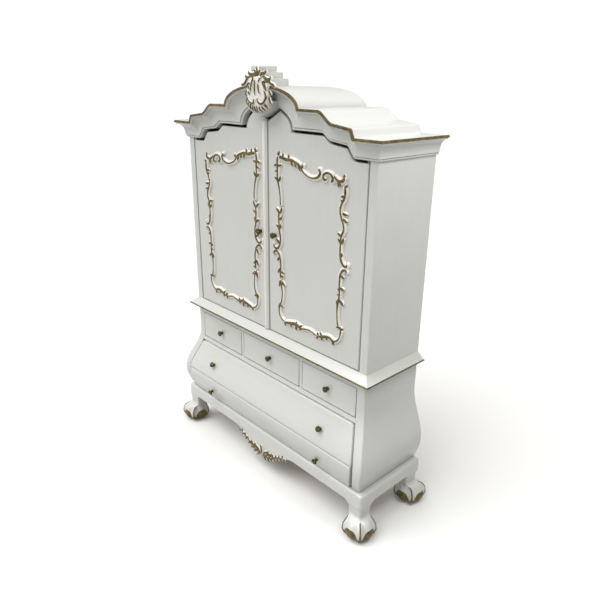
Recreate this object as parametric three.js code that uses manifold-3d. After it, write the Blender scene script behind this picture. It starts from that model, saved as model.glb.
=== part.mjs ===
// Armoire: an arched two-door cabinet on a swelling (bombe) chest of five drawers,
// standing on a shaped base with four ball-and-claw feet.
// Millimetres. +Z up, +X to the right when facing the doors, the doors face -Y.
// Y = 0 is the plane of the upper case's front edges until the whole is centred at the end.

import * as THREE from 'three';
import { mergeVertices } from 'three/addons/utils/BufferGeometryUtils.js';
import Module from 'manifold-3d';

const wasm = await Module();
wasm.setup();

// ---- driving dimensions ----

const GAP = 0.3; // between pieces that touch
const CASE_WIDTH = 1426; // outside the upper case's sides
const CASE_DEPTH = 408; // front edges to back face
const SIDE_THICK = 22;
const BACK_THICK = 12;
const SHELF_THICK = 20;
const SHELF_COUNT = 2;
const SHELF_SETBACK = 40; // behind the case's front edges

const LEG_SIZE = 96; // square corner block of each leg
const BASE_OVERHANG = 70; // base beyond the upper case, front and sides
const BASE_RAIL = 58; // depth of the front apron and side rails
const BASE_CHAMFER = 14;
const BASE_TOP = 262;
const BASE_BAND = 70; // height of the straight part of the apron
const APRON_DROP = 104; // how far its centre hangs below that part
const APRON_DROP_HALF = 280;
const FLOOR_BOARD = 18;
const LEAF_HALF = 207; // carved leaves on the apron's drop
const LEAF_EDGE = 10; // their height at the ends
const LEAF_CROWN = 38; // how much higher they are at the centre
const LEAF_LIFT = 2; // above the drop's edge
const LEAF_THICK = 12;

const BALL_RADIUS = 83;
const BALL_Z = 50; // height of the ball's widest ring
const SOLE_RADIUS = 50;
const NECK_HALF = 39; // half width of the leg where it meets the ball
const NECK_Z = 122;
const BALL_INSET = 24; // ball centre inside the leg's outer corner
const BALL_LOW = { height: 16, radius: 74 }; // rings below and above the widest one
const BALL_HIGH = { height: 80, radius: 73 };
const ANKLE = { height: 100, half: 53 };
const ANKLE_SHIFT = 8; // centre of the ankle and neck outside the leg's own

const CHEST_HEIGHT = 579;
const CHEST_LIFT = 4; // underside of the chest's sides above the base
const CHEST_SIDE = 24;
const STILE_WIDTH = 54; // front stile, with the side's edge in it
const SWELL_DROP = 159; // from the chest's top to where the swelling starts
const BELLY_RISE = 130; // from the chest's underside to where it is fullest
const BELLY_SIDE = 70;
const BELLY_FRONT = 88;
const FOOT_SIDE = 38; // swelling left at the chest's underside
const FOOT_FRONT = 50;
const SWELL_STEPS = 16;

const TOP_RAIL = 37;
const DUST_BOARD = 22;
const MID_BOARD = 16;
const DIVIDER = 20;
const DIVIDER_X = 256; // from the centre to the middle of a divider
const SMALL_DRAWER = 161; // height of a small drawer's front
const UPPER_DRAWER = 191;
const DRAWER_GAP = 4; // round a drawer's front
const SMALL_FRONT_DEPTH = 22;
const SMALL_PROUD = 2;
const LONG_PROUD = 8;
const LONG_BACK_Y = 6; // flat back of a long drawer's front
const DRAWER_EDGE = 8; // chamfer round a drawer's front
const TRAY_WALL = 12;
const TRAY_FLOOR = 8;
const TRAY_SIDE_GAP = 8;
const TRAY_BACK_GAP = 26;
const TRAY_LIFT = 1;
const TRAY_HEADROOM = 14;

const WAIST_HEIGHT = 54; // above the chest's top
const WAIST_LIP_RISE = 18; // top of the thin lip above the chest's top
const WAIST_OVERHANG = 43;
const WAIST_LIP_THICK = 8;
const WAIST_FRAME = 24; // moulding's depth inside the case's faces
const UPPER_FLOOR_THICK = 24;

const CASE_HEIGHT = 1087; // from the waist's top to the cornice's lip at the sides
const CORNICE_OUT = 59;
const CORNICE_HEIGHT = 90;
const LIP_WIDTH = 16;
const ROOF_THICK = 12;
const FRIEZE_DEPTH = 22; // frieze board behind the case's front plane

// The outline from the centre to the flat end: an arch, a shoulder, a sweep, a dip and a step.
// Heights are above the cornice's lip at the sides. The arch is measured from the centre, and
// the places where the shoulder, sweep, dip and step end are measured from the case's side.
const LIP_LINE = {
  arch: 278, apex: 200, shoulder: 102, shoulderEnd: 314,
  sweepEnd: 213, sweep: 50, dipEnd: 113, dip: 37, stepEnd: 89, flat: 0,
};
const FRIEZE_LINE = {
  arch: 192, apex: 112, shoulder: 4, shoulderEnd: 333,
  sweepEnd: 269, sweep: -28, dipEnd: 179, dip: -38, stepEnd: 121, flat: -CORNICE_HEIGHT,
};
const ARCH_STEPS = 10;
const SWAY_STEPS = 5;

const KEYSTONE_HALF = 92;
const KEYSTONE_TIP = 48; // tip above the lip's height at the sides
const KEYSTONE_SPRING = 99;
const KEYSTONE_ROOT = 30; // how far it runs up into the frieze

const DOOR_THICK = 22;
const DOOR_SIDE_GAP = 4;
const DOOR_TOP_GAP = 12;
const DOOR_BOTTOM_GAP = 4;
const MEETING_GAP = 1.5; // each door's edge from the centre
const DOOR_BEVEL = 5;
const STILE_FRONT = 46; // upper case's stile beside a door
const STILE_DEPTH = 24;
const PIN_RADIUS = 4;
const PIN_INSET = 11; // from the door's outer edge
const PIN_Y = 8;
const PIN_IN_DOOR = 18;
const PIN_IN_FRAME = 15;
const ASTRAGAL_WIDTH = 42;
const ASTRAGAL_PROUD = 12;
const ASTRAGAL_STEPS = 8;
const ASTRAGAL_FOOT = 2; // above the door's lower edge

const ORNAMENT_TOP_MARGIN = 117; // from the door's edges to the carved frame at its top
const ORNAMENT_FOOT_MARGIN = 157;
const ORNAMENT_FOOT_RISE = 86; // above the waist
const ORNAMENT_OUTER_DROP = 206; // below the cornice's lip at the sides
const ORNAMENT_INNER_DROP = 118;
const ORNAMENT_BAND = 26;
const ORNAMENT_THICK = 12;

const KNOB_RADIUS = 15;
const KNOB_REACH = 34;
const KNOB_ROSE = 11;
const KNOB_SEAT = 0.6;
const DOOR_KNOB_RISE = 557; // above the waist
const LEFT_KNOB_X = -66;
const RIGHT_KNOB_X = 52;
const LONG_KNOB_X = 478;
const LOWER_KNOB_DROP = 13; // below the middle of the lower drawer's front

// Right half of the cartouche's outline above its tip on the keystone: out from the centre, and
// up from the lip's height at the sides.
const CARTOUCHE_LINE = [
  [KEYSTONE_HALF, KEYSTONE_SPRING], [88, 140], [96, 176], [116, 200], [102, 222], [78, 240],
  [46, 262], [14, 276],
];
const CARTOUCHE_TOP = 282;
const CARTOUCHE_DEPTH = 28;
const BLOCK_HALF = 58;
const BLOCK_LAYERS = 3;
const BLOCK_LAYER = 25; // height of one layer
const BLOCK_LENGTH = 132; // of the lowest layer, front to back
const BLOCK_STEP = 38; // how much shorter the next layer is
const BLOCK_EDGE = 4; // chamfer of each layer's back edge
const BLOCK_SEAT = 1; // above the roof's crown

const HOLE_DEEPER = 1; // a pin's hole beyond the pin's end
const CUT_PAST = 5; // a cutter beyond the face that it opens

// ---- sizes worked out from them ----

const W = CASE_WIDTH / 2;
const D = CASE_DEPTH;
const APRON_Z = BASE_TOP - BASE_BAND;
const CHEST_FOOT = BASE_TOP + CHEST_LIFT;
const CHEST_TOP = CHEST_FOOT + CHEST_HEIGHT;
const SWELL_START = CHEST_TOP - SWELL_DROP;
const BELLY_Z = CHEST_FOOT + BELLY_RISE;
const WAIST_TOP = CHEST_TOP + WAIST_HEIGHT;
const WAIST_LIP = CHEST_TOP + WAIST_LIP_RISE;
const LIP_Z = WAIST_TOP + CASE_HEIGHT;
const BASE_X = W + BASE_OVERHANG;
const LEG_INNER_X = BASE_X - LEG_SIZE;
const FRONT_LEG_Y = LEG_SIZE - BASE_OVERHANG;
const BACK_LEG_Y = D - LEG_SIZE;
const DOOR_OUTER_X = W - STILE_FRONT - DOOR_SIDE_GAP;
const DOOR_BOTTOM = WAIST_TOP + DOOR_BOTTOM_GAP;
const HINGE_X = DOOR_OUTER_X - PIN_INSET;
const SMALL_TOP = CHEST_TOP - TOP_RAIL - DRAWER_GAP / 2;
const SMALL_BOTTOM = SMALL_TOP - SMALL_DRAWER;
const DUST_TOP = SMALL_BOTTOM - DRAWER_GAP;
const DUST_BOTTOM = DUST_TOP - DUST_BOARD;
const UPPER_TOP = DUST_BOTTOM - DRAWER_GAP;
const UPPER_BOTTOM = UPPER_TOP - UPPER_DRAWER;
const LOWER_TOP = UPPER_BOTTOM - DRAWER_GAP;
const LOWER_BOTTOM = BASE_TOP + DRAWER_GAP;
const MID_TOP = UPPER_BOTTOM + MID_BOARD / 2;
const MID_BOTTOM = MID_TOP - MID_BOARD;
const FRONT_REACH = BASE_OVERHANG - BALL_INSET + BALL_RADIUS;
const BACK_REACH = D - BALL_INSET + BALL_RADIUS;

// ---- materials ----

function paint(color, roughness, metalness) {
  return new THREE.MeshStandardMaterial({ color, roughness, metalness });
}
const WHITE = paint(0xe4e4df, 0.35, 0);
const GOLD = paint(0x6b5a30, 0.45, 0.6);
const BRASS = paint(0x4a4a2a, 0.4, 0.8);
const BARE_WOOD = paint(0xc9b68c, 0.7, 0);
const STEEL = paint(0x9a9a9a, 0.4, 0.9);

// ---- building helpers ----

const armoire = new THREE.Group();

function add(name, geometry, material) {
  const mesh = new THREE.Mesh(geometry, material);
  mesh.name = name;
  armoire.add(mesh);
  return mesh;
}

function boxGeometry([x0, x1], [y0, y1], [z0, z1]) {
  const box = new THREE.BoxGeometry(x1 - x0, y1 - y0, z1 - z0);
  return box.translate((x0 + x1) / 2, (y0 + y1) / 2, (z0 + z1) / 2);
}

function board(name, xs, ys, zs, material) {
  return add(name, boxGeometry(xs, ys, zs), material);
}

function point(x, y, z) {
  return new THREE.Vector3(x, y, z);
}

// Newell's normal of a closed ring of points.
function ringNormal(ring) {
  const normal = point(0, 0, 0);
  ring.forEach((a, i) => {
    const b = ring[(i + 1) % ring.length];
    normal.x += (a.y - b.y) * (a.z + b.z);
    normal.y += (a.z - b.z) * (a.x + b.x);
    normal.z += (a.x - b.x) * (a.y + b.y);
  });
  return normal.normalize();
}

// Triangles that fill a ring, all turning the way the ring does.
function fillRing(ring) {
  const normal = ringNormal(ring);
  const side = Math.abs(normal.z) < 0.9 ? point(0, 0, 1) : point(1, 0, 0);
  const u = side.clone().cross(normal).normalize();
  const v = normal.clone().cross(u);
  const flat = ring.map((p) => new THREE.Vector2(p.dot(u), p.dot(v)));
  return THREE.ShapeUtils.triangulateShape(flat, []).map(([a, b, c]) => {
    const ab = flat[b].clone().sub(flat[a]);
    const ac = flat[c].clone().sub(flat[a]);
    return ab.cross(ac) > 0 ? [a, b, c] : [a, c, b];
  });
}

// A closed solid through a row of rings that have the same number of points.
function loft(rings) {
  const count = rings[0].length;
  const index = [];
  for (let i = 0; i + 1 < rings.length; i += 1) {
    for (let j = 0; j < count; j += 1) {
      const a = i * count + j;
      const b = i * count + ((j + 1) % count);
      index.push(a, b, b + count, a, b + count, a + count);
    }
  }
  const last = (rings.length - 1) * count;
  fillRing(rings[0]).forEach(([a, b, c]) => index.push(a, c, b));
  fillRing(rings[rings.length - 1]).forEach(([a, b, c]) => index.push(last + a, last + b, last + c));
  const points = rings.flat();
  let volume = 0;
  for (let i = 0; i < index.length; i += 3) {
    const [a, b, c] = [points[index[i]], points[index[i + 1]], points[index[i + 2]]];
    volume += a.dot(b.clone().cross(c));
  }
  const geometry = new THREE.BufferGeometry().setFromPoints(points);
  geometry.setIndex(volume > 0 ? index : index.reverse());
  return geometry;
}

function toSolid(geometry) {
  const bare = geometry.clone();
  bare.deleteAttribute('normal');
  bare.deleteAttribute('uv');
  const merged = mergeVertices(bare, 1e-3);
  return new wasm.Manifold(new wasm.Mesh({
    numProp: 3,
    vertProperties: new Float32Array(merged.attributes.position.array),
    triVerts: new Uint32Array(merged.index.array),
  }));
}

function fromSolid(solid) {
  const mesh = solid.getMesh();
  const geometry = new THREE.BufferGeometry();
  geometry.setAttribute('position', new THREE.BufferAttribute(mesh.vertProperties, 3));
  geometry.setIndex(new THREE.BufferAttribute(mesh.triVerts, 1));
  return geometry;
}

function cut(geometry, cutters) {
  return fromSolid(cutters.reduce((solid, cutter) => solid.subtract(toSolid(cutter)), toSolid(geometry)));
}

function join(geometry, extra) {
  return fromSolid(toSolid(geometry).add(toSolid(extra)));
}

// A flat outline in X and Z, given thickness along Y from y0 to y1.
function slab(outline, y0, y1, holes = [], bevel = 0) {
  const shape = new THREE.Shape(outline);
  shape.holes = holes.map((hole) => new THREE.Path(hole));
  const geometry = new THREE.ExtrudeGeometry(shape, {
    depth: y1 - y0 - 2 * bevel,
    bevelEnabled: bevel > 0,
    bevelThickness: bevel,
    bevelSize: bevel,
    bevelOffset: -bevel,
    bevelSegments: 1,
  });
  return geometry.rotateX(Math.PI / 2).translate(0, y1 - bevel, 0);
}

function mix(a, b, t) {
  return a + (b - a) * t;
}

function mirrored(points) {
  return points.slice().reverse().map((p) => new THREE.Vector2(-p.x, p.y));
}

// ---- the arched outline ----

// From the centre outwards; the same number of points for every line.
function halfOutline(line) {
  const points = [];
  for (let i = 0; i <= ARCH_STEPS; i += 1) {
    const turn = (i / ARCH_STEPS) * (Math.PI / 2);
    const rise = (line.apex - line.shoulder) * Math.cos(turn);
    points.push(new THREE.Vector2(line.arch * Math.sin(turn), line.shoulder + rise));
  }
  const sway = (x0, z0, x1, z1) => {
    for (let i = 0; i <= SWAY_STEPS; i += 1) {
      const t = i / SWAY_STEPS;
      points.push(new THREE.Vector2(mix(x0, x1, t), mix(z0, z1, (1 - Math.cos(Math.PI * t)) / 2)));
    }
  };
  sway(W - line.shoulderEnd, line.shoulder, W - line.sweepEnd, line.sweep);
  sway(W - line.dipEnd, line.dip, W - line.stepEnd, line.flat);
  return points.map((p) => new THREE.Vector2(p.x, p.y + LIP_Z));
}

// The line that far below an outline and inside its steep parts.
function inside(line, distance) {
  return {
    arch: line.arch - distance,
    apex: line.apex - distance,
    shoulder: line.shoulder - distance,
    shoulderEnd: line.shoulderEnd + distance / 2,
    sweepEnd: line.sweepEnd + distance / 2,
    sweep: line.sweep - distance,
    dipEnd: line.dipEnd + distance,
    dip: line.dip - distance,
    stepEnd: line.stepEnd + distance,
    flat: line.flat - distance,
  };
}

const LIP_HALF = halfOutline(LIP_LINE);
const ROOF_UNDER_HALF = halfOutline(inside(LIP_LINE, ROOF_THICK));
const REBATE_HALF = halfOutline(inside(LIP_LINE, ROOF_THICK + GAP));
const FRIEZE_HALF = halfOutline(FRIEZE_LINE);
const DOOR_TOP_HALF = halfOutline(inside(FRIEZE_LINE, DOOR_TOP_GAP));

// ---- the swelling of the chest ----

function heights(z0, z1, steps) {
  return Array.from({ length: steps + 1 }, (_, i) => mix(z0, z1, i / steps));
}

const SWELL_LEVELS = heights(CHEST_FOOT, SWELL_START, SWELL_STEPS);

function curvedSwell(z, belly, foot) {
  if (z >= BELLY_Z) {
    const t = (SWELL_START - z) / (SWELL_START - BELLY_Z);
    return (belly * (1 - Math.cos(Math.PI * t))) / 2;
  }
  const t = (BELLY_Z - z) / (BELLY_Z - CHEST_FOOT);
  return mix(belly, foot, 1 - Math.cos((Math.PI / 2) * t));
}

// Straight between the levels, so that every piece that meets the swelling has the same facets.
function swell(z, belly, foot) {
  const step = (SWELL_START - CHEST_FOOT) / SWELL_STEPS;
  const place = Math.min(Math.max((z - CHEST_FOOT) / step, 0), SWELL_STEPS);
  const low = Math.min(Math.floor(place), SWELL_STEPS - 1);
  const [below, above] = [SWELL_LEVELS[low], SWELL_LEVELS[low + 1]];
  return mix(curvedSwell(below, belly, foot), curvedSwell(above, belly, foot), place - low);
}

function levels(z0, z1) {
  return [z0, ...SWELL_LEVELS.filter((z) => z > z0 + 1 && z < z1 - 1), z1];
}

function sideX(z) {
  return W + swell(z, BELLY_SIDE, FOOT_SIDE);
}

function frontY(z) {
  return -swell(z, BELLY_FRONT, FOOT_FRONT);
}

// ---- feet and base ----

const FOOT_POINTS = 20;
const ROUND = 2;
const SOFT_SQUARE = 4;
const SQUARE = 12;

// A ring between a circle (power 2) and a square (high power).
function roundedSquare(cx, cy, half, power, z) {
  return Array.from({ length: FOOT_POINTS }, (_, k) => {
    const turn = ((k + 0.5) / FOOT_POINTS) * 2 * Math.PI;
    const c = Math.cos(turn);
    const s = Math.sin(turn);
    const reach = half / (Math.abs(c) ** power + Math.abs(s) ** power) ** (1 / power);
    return point(cx + reach * c, cy + reach * s, z);
  });
}

function foot(name, sideways, forwards) {
  const cornerX = sideways * BASE_X;
  const cornerY = forwards > 0 ? -BASE_OVERHANG : D;
  const at = (inset) => [cornerX - sideways * inset, cornerY + forwards * inset];
  const ring = (inset, half, power, z) => roundedSquare(...at(inset), half, power, z);
  const block = LEG_SIZE / 2;
  const rings = [
    ring(BALL_INSET, SOLE_RADIUS, ROUND, 0),
    ring(BALL_INSET, BALL_LOW.radius, ROUND, BALL_LOW.height),
    ring(BALL_INSET, BALL_RADIUS, ROUND, BALL_Z),
    ring(BALL_INSET, BALL_HIGH.radius, ROUND, BALL_HIGH.height),
    ring(BALL_INSET + ANKLE_SHIFT, ANKLE.half, ROUND, ANKLE.height),
    ring(block - ANKLE_SHIFT, NECK_HALF, SOFT_SQUARE, NECK_Z),
    ring(block, NECK_HALF, SQUARE, (NECK_Z + APRON_Z) / 2),
    ring(block, block, SQUARE, APRON_Z),
    ring(block, block, SQUARE, BASE_TOP - BASE_CHAMFER),
    ring(block + BASE_CHAMFER / 2, block - BASE_CHAMFER / 2, SQUARE, BASE_TOP),
  ];
  add(name, loft(rings), WHITE);
}

foot('foot_front_left', -1, 1);
foot('foot_front_right', 1, 1);
foot('foot_back_left', -1, -1);
foot('foot_back_right', 1, -1);

const DROP_STEPS = 20;

function apronEdge(x) {
  const t = Math.min(Math.abs(x) / APRON_DROP_HALF, 1);
  return APRON_Z - (APRON_DROP * (1 + Math.cos(Math.PI * t))) / 2;
}

function apron() {
  const end = LEG_INNER_X - GAP;
  const drop = heights(-APRON_DROP_HALF, APRON_DROP_HALF, DROP_STEPS);
  const front = -BASE_OVERHANG;
  const back = front + BASE_RAIL;
  const rings = [-end, ...drop, end].map((x) => [
    point(x, back, apronEdge(x)),
    point(x, back, BASE_TOP),
    point(x, front + BASE_CHAMFER, BASE_TOP),
    point(x, front, BASE_TOP - BASE_CHAMFER),
    point(x, front, apronEdge(x)),
  ]);
  add('apron_front', loft(rings), WHITE);
}

function baseRail(name, side) {
  const outer = side * BASE_X;
  const inner = side * (BASE_X - BASE_RAIL);
  const rings = [FRONT_LEG_Y + GAP, BACK_LEG_Y - GAP].map((y) => [
    point(inner, y, APRON_Z),
    point(inner, y, BASE_TOP),
    point(outer - side * BASE_CHAMFER, y, BASE_TOP),
    point(outer, y, BASE_TOP - BASE_CHAMFER),
    point(outer, y, APRON_Z),
  ]);
  add(name, loft(rings), WHITE);
}

// Carved leaves along the apron's drop: a plain crescent here.
function apronOrnament() {
  const xs = heights(-LEAF_HALF, LEAF_HALF, DROP_STEPS);
  const lower = xs.map((x) => new THREE.Vector2(x, apronEdge(x) + LEAF_LIFT));
  const upper = xs.map((x) => {
    const crown = 1 - (x / LEAF_HALF) ** 2;
    return new THREE.Vector2(x, apronEdge(x) + LEAF_EDGE + LEAF_CROWN * crown);
  });
  const front = -BASE_OVERHANG - GAP;
  add('apron_ornament', slab([...lower, ...upper.reverse()], front - LEAF_THICK, front), GOLD);
}

apron();
baseRail('base_rail_left', -1);
baseRail('base_rail_right', 1);
apronOrnament();

// ---- chest ----

function chestFloor() {
  const wide = BASE_X - BASE_RAIL - GAP;
  const narrow = LEG_INNER_X - GAP;
  const front = -BASE_OVERHANG + BASE_RAIL + GAP;
  const right = [
    [narrow, front], [narrow, FRONT_LEG_Y + GAP], [wide, FRONT_LEG_Y + GAP],
    [wide, BACK_LEG_Y - GAP], [narrow, BACK_LEG_Y - GAP], [narrow, D - BACK_THICK - GAP],
  ];
  const left = right.slice().reverse().map(([x, y]) => [-x, y]);
  const outline = [...right, ...left];
  const rings = [BASE_TOP - FLOOR_BOARD, BASE_TOP].map((z) => outline.map(([x, y]) => point(x, y, z)));
  add('chest_bottom', loft(rings), BARE_WOOD);
}

function chestSide(name, side) {
  const rings = levels(CHEST_FOOT, CHEST_TOP).map((z) => {
    const outer = sideX(z);
    const front = frontY(z);
    const section = [
      [outer, front], [outer, D], [outer - CHEST_SIDE, D],
      [outer - CHEST_SIDE, front + CHEST_SIDE],
      [outer - STILE_WIDTH, front + CHEST_SIDE], [outer - STILE_WIDTH, front],
    ];
    return section.map(([x, y]) => point(side * x, y, z));
  });
  add(name, loft(rings), WHITE);
}

function chestBack() {
  const stages = [
    [APRON_Z, LEG_INNER_X - GAP], [BASE_TOP, LEG_INNER_X - GAP],
    ...levels(CHEST_FOOT, CHEST_TOP).map((z) => [z, sideX(z) - CHEST_SIDE - GAP]),
  ];
  const rings = stages.map(([z, half]) => [
    point(-half, D, z), point(half, D, z), point(half, D - BACK_THICK, z), point(-half, D - BACK_THICK, z),
  ]);
  add('chest_back', loft(rings), BARE_WOOD);
}

// A full-depth board whose front edge shows between the stiles.
function crossBoard(name, z0, z1, material) {
  const rings = levels(z0, z1).map((z) => {
    const front = frontY(z);
    const narrow = sideX(z) - STILE_WIDTH - GAP;
    const wide = sideX(z) - CHEST_SIDE - GAP;
    const notch = front + CHEST_SIDE + GAP;
    const right = [[narrow, front], [narrow, notch], [wide, notch], [wide, D - BACK_THICK - GAP]];
    const left = right.slice().reverse().map(([x, y]) => [-x, y]);
    return [...right, ...left].map(([x, y]) => point(x, y, z));
  });
  add(name, loft(rings), material);
}

chestFloor();
chestSide('chest_side_left', -1);
chestSide('chest_side_right', 1);
chestBack();
crossBoard('chest_top', CHEST_TOP - TOP_RAIL, CHEST_TOP, WHITE);
crossBoard('dust_board_upper', DUST_BOTTOM, DUST_TOP, WHITE);

const midHalf = sideX(MID_TOP) - CHEST_SIDE - 1;
board(
  'dust_board_lower',
  [-midHalf, midHalf],
  [LONG_BACK_Y + 2, D - BACK_THICK - GAP],
  [MID_BOTTOM, MID_TOP],
  BARE_WOOD,
);

for (const [name, x] of [['divider_left', -DIVIDER_X], ['divider_right', DIVIDER_X]]) {
  board(
    name,
    [x - DIVIDER / 2, x + DIVIDER / 2],
    [0, D - BACK_THICK - GAP],
    [DUST_TOP + GAP, CHEST_TOP - TOP_RAIL - GAP],
    WHITE,
  );
}

// ---- drawers ----

function tray(name, [x0, x1], [y0, y1], [z0, z1]) {
  const hollow = boxGeometry(
    [x0 + TRAY_WALL, x1 - TRAY_WALL],
    [y0 + TRAY_WALL, y1 - TRAY_WALL],
    [z0 + TRAY_FLOOR, z1 + CUT_PAST],
  );
  add(name, cut(boxGeometry([x0, x1], [y0, y1], [z0, z1]), [hollow]), BARE_WOOD);
}

// A drawer front between two edges that may depend on height, with a chamfer all round.
function drawerFront(name, leftX, rightX, z0, z1, proud, backY) {
  const rings = [z0, ...levels(z0 + DRAWER_EDGE, z1 - DRAWER_EDGE), z1].map((z, i, all) => {
    const rim = i === 0 || i === all.length - 1;
    const face = frontY(z) - proud + (rim ? DRAWER_EDGE / 2 : 0);
    const left = leftX(z);
    const right = rightX(z);
    return [
      point(left, backY, z), point(right, backY, z),
      point(right, face + DRAWER_EDGE / 2, z), point(right - DRAWER_EDGE, face, z),
      point(left + DRAWER_EDGE, face, z), point(left, face + DRAWER_EDGE / 2, z),
    ];
  });
  add(name, loft(rings), WHITE);
}

function knobGeometry() {
  const profile = [
    [0, 0], [KNOB_ROSE, 0], [KNOB_ROSE, 2.5], [KNOB_ROSE * 0.6, 5],
    [KNOB_ROSE * 0.45, 9], [KNOB_ROSE * 0.55, KNOB_REACH * 0.45],
    [KNOB_RADIUS * 0.85, KNOB_REACH * 0.55], [KNOB_RADIUS, KNOB_REACH * 0.7],
    [KNOB_RADIUS * 0.86, KNOB_REACH * 0.86], [KNOB_RADIUS * 0.45, KNOB_REACH * 0.97], [0, KNOB_REACH],
  ];
  return new THREE.LatheGeometry(profile.map(([x, y]) => new THREE.Vector2(x, y)), 12);
}

// A knob standing square on a front that leans by the tilt, in radians, upwards.
function knob(name, x, y, z, tilt = 0) {
  const mesh = add(name, knobGeometry(), BRASS);
  mesh.rotation.x = Math.PI - tilt;
  mesh.position.set(x, y - KNOB_SEAT * Math.cos(tilt), z + KNOB_SEAT * Math.sin(tilt));
}

const stileEdge = (z) => sideX(z) - STILE_WIDTH;
const smallDrawers = [
  ['left', (z) => -stileEdge(z), () => -DIVIDER_X - DIVIDER / 2],
  ['middle', () => -DIVIDER_X + DIVIDER / 2, () => DIVIDER_X - DIVIDER / 2],
  ['right', () => DIVIDER_X + DIVIDER / 2, stileEdge],
];
for (const [place, leftEdge, rightEdge] of smallDrawers) {
  const edge = DRAWER_GAP / 2;
  const straightLeft = leftEdge(SMALL_TOP);
  const straightRight = rightEdge(SMALL_TOP);
  drawerFront(
    `drawer_small_${place}_front`,
    () => straightLeft + edge,
    () => straightRight - edge,
    SMALL_BOTTOM,
    SMALL_TOP,
    SMALL_PROUD,
    SMALL_FRONT_DEPTH - SMALL_PROUD,
  );
  tray(
    `drawer_small_${place}_tray`,
    [straightLeft + edge + TRAY_SIDE_GAP, straightRight - edge - TRAY_SIDE_GAP],
    [SMALL_FRONT_DEPTH - SMALL_PROUD + GAP, D - BACK_THICK - TRAY_BACK_GAP],
    [DUST_TOP + TRAY_LIFT, SMALL_TOP - TRAY_HEADROOM],
  );
  const middle = (SMALL_BOTTOM + SMALL_TOP) / 2;
  knob(`knob_small_${place}`, (straightLeft + straightRight) / 2, frontY(middle) - SMALL_PROUD, middle);
}

function longDrawer(place, [z0, z1], [trayBottom, trayTop], knobZ) {
  const half = (z) => sideX(z) - STILE_WIDTH - DRAWER_GAP;
  drawerFront(
    `drawer_${place}_front`,
    (z) => -half(z),
    half,
    z0,
    z1,
    LONG_PROUD,
    LONG_BACK_Y,
  );
  const trayHalf = Math.min(half(z0), half(z1)) - TRAY_SIDE_GAP;
  tray(
    `drawer_${place}_tray`,
    [-trayHalf, trayHalf],
    [LONG_BACK_Y + GAP, D - BACK_THICK - TRAY_BACK_GAP],
    [trayBottom, trayTop],
  );
  const reach = KNOB_ROSE;
  const rise = frontY(knobZ + reach) - frontY(knobZ - reach);
  const tilt = Math.atan2(rise, 2 * reach);
  for (const [side, x] of [['left', -LONG_KNOB_X], ['right', LONG_KNOB_X]]) {
    knob(`knob_${place}_${side}`, x, frontY(knobZ) - LONG_PROUD, knobZ, tilt);
  }
}

longDrawer(
  'upper',
  [UPPER_BOTTOM, UPPER_TOP],
  [MID_TOP + TRAY_LIFT, UPPER_TOP - TRAY_HEADROOM],
  (UPPER_BOTTOM + UPPER_TOP) / 2,
);
longDrawer(
  'lower',
  [LOWER_BOTTOM, LOWER_TOP],
  [BASE_TOP + TRAY_LIFT, MID_BOTTOM - TRAY_HEADROOM],
  (LOWER_BOTTOM + LOWER_TOP) / 2 - LOWER_KNOB_DROP,
);

// ---- waist moulding and upper case ----

const WAIST_PROFILE = [
  [-WAIST_FRAME, CHEST_TOP + GAP], [4, CHEST_TOP + GAP],
  [8, WAIST_LIP - WAIST_LIP_THICK - 5], [WAIST_OVERHANG - 6, WAIST_LIP - WAIST_LIP_THICK],
  [WAIST_OVERHANG, WAIST_LIP - WAIST_LIP_THICK * 0.6], [WAIST_OVERHANG, WAIST_LIP],
  [16, WAIST_TOP - 16], [3, WAIST_TOP - 3], [0, WAIST_TOP], [-WAIST_FRAME, WAIST_TOP],
];

function pinHole(x, z0, z1) {
  const hole = new THREE.CylinderGeometry(PIN_RADIUS + GAP, PIN_RADIUS + GAP, z1 - z0, 16);
  return hole.rotateX(Math.PI / 2).translate(x, PIN_Y, (z0 + z1) / 2);
}

function waist() {
  const front = [-1, 1].map((side) => WAIST_PROFILE.map(([out, z]) => point(side * (W + out), -out, z)));
  const bottom = WAIST_TOP - PIN_IN_FRAME - HOLE_DEEPER;
  const holes = [-HINGE_X, HINGE_X].map((x) => pinHole(x, bottom, WAIST_TOP + CUT_PAST));
  add('waist_front', cut(loft(front), holes), WHITE);
  for (const [name, side] of [['waist_left', -1], ['waist_right', 1]]) {
    const rings = [
      WAIST_PROFILE.map(([out, z]) => point(side * (W + out), -out + GAP * 2, z)),
      WAIST_PROFILE.map(([out, z]) => point(side * (W + out), D, z)),
    ];
    add(name, loft(rings), WHITE);
  }
}

waist();
board(
  'upper_floor',
  [-W + WAIST_FRAME + GAP, W - WAIST_FRAME - GAP],
  [WAIST_FRAME + GAP, D],
  [WAIST_TOP - UPPER_FLOOR_THICK, WAIST_TOP],
  BARE_WOOD,
);

// A side board with the front stile on its front edge, up to the cornice.
function upperSide(name, side) {
  const corniceFoot = LIP_Z - CORNICE_HEIGHT - GAP;
  const stile = [
    [W, 0], [W, D], [W - SIDE_THICK, D], [W - SIDE_THICK, STILE_DEPTH],
    [W - STILE_FRONT, STILE_DEPTH], [W - STILE_FRONT, 0],
  ];
  const rings = [WAIST_TOP + GAP, corniceFoot].map((z) => stile.map(([x, y]) => point(side * x, y, z)));
  const top = [LIP_Z - CORNICE_HEIGHT - 2 * GAP, LIP_Z - ROOF_THICK - GAP];
  const inner = side * (W - SIDE_THICK);
  const xs = side > 0 ? [inner, W] : [-W, inner];
  add(name, join(loft(rings), boxGeometry(xs, [0, D], top)), WHITE);
}

upperSide('upper_side_left', -1);
upperSide('upper_side_right', 1);

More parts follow.
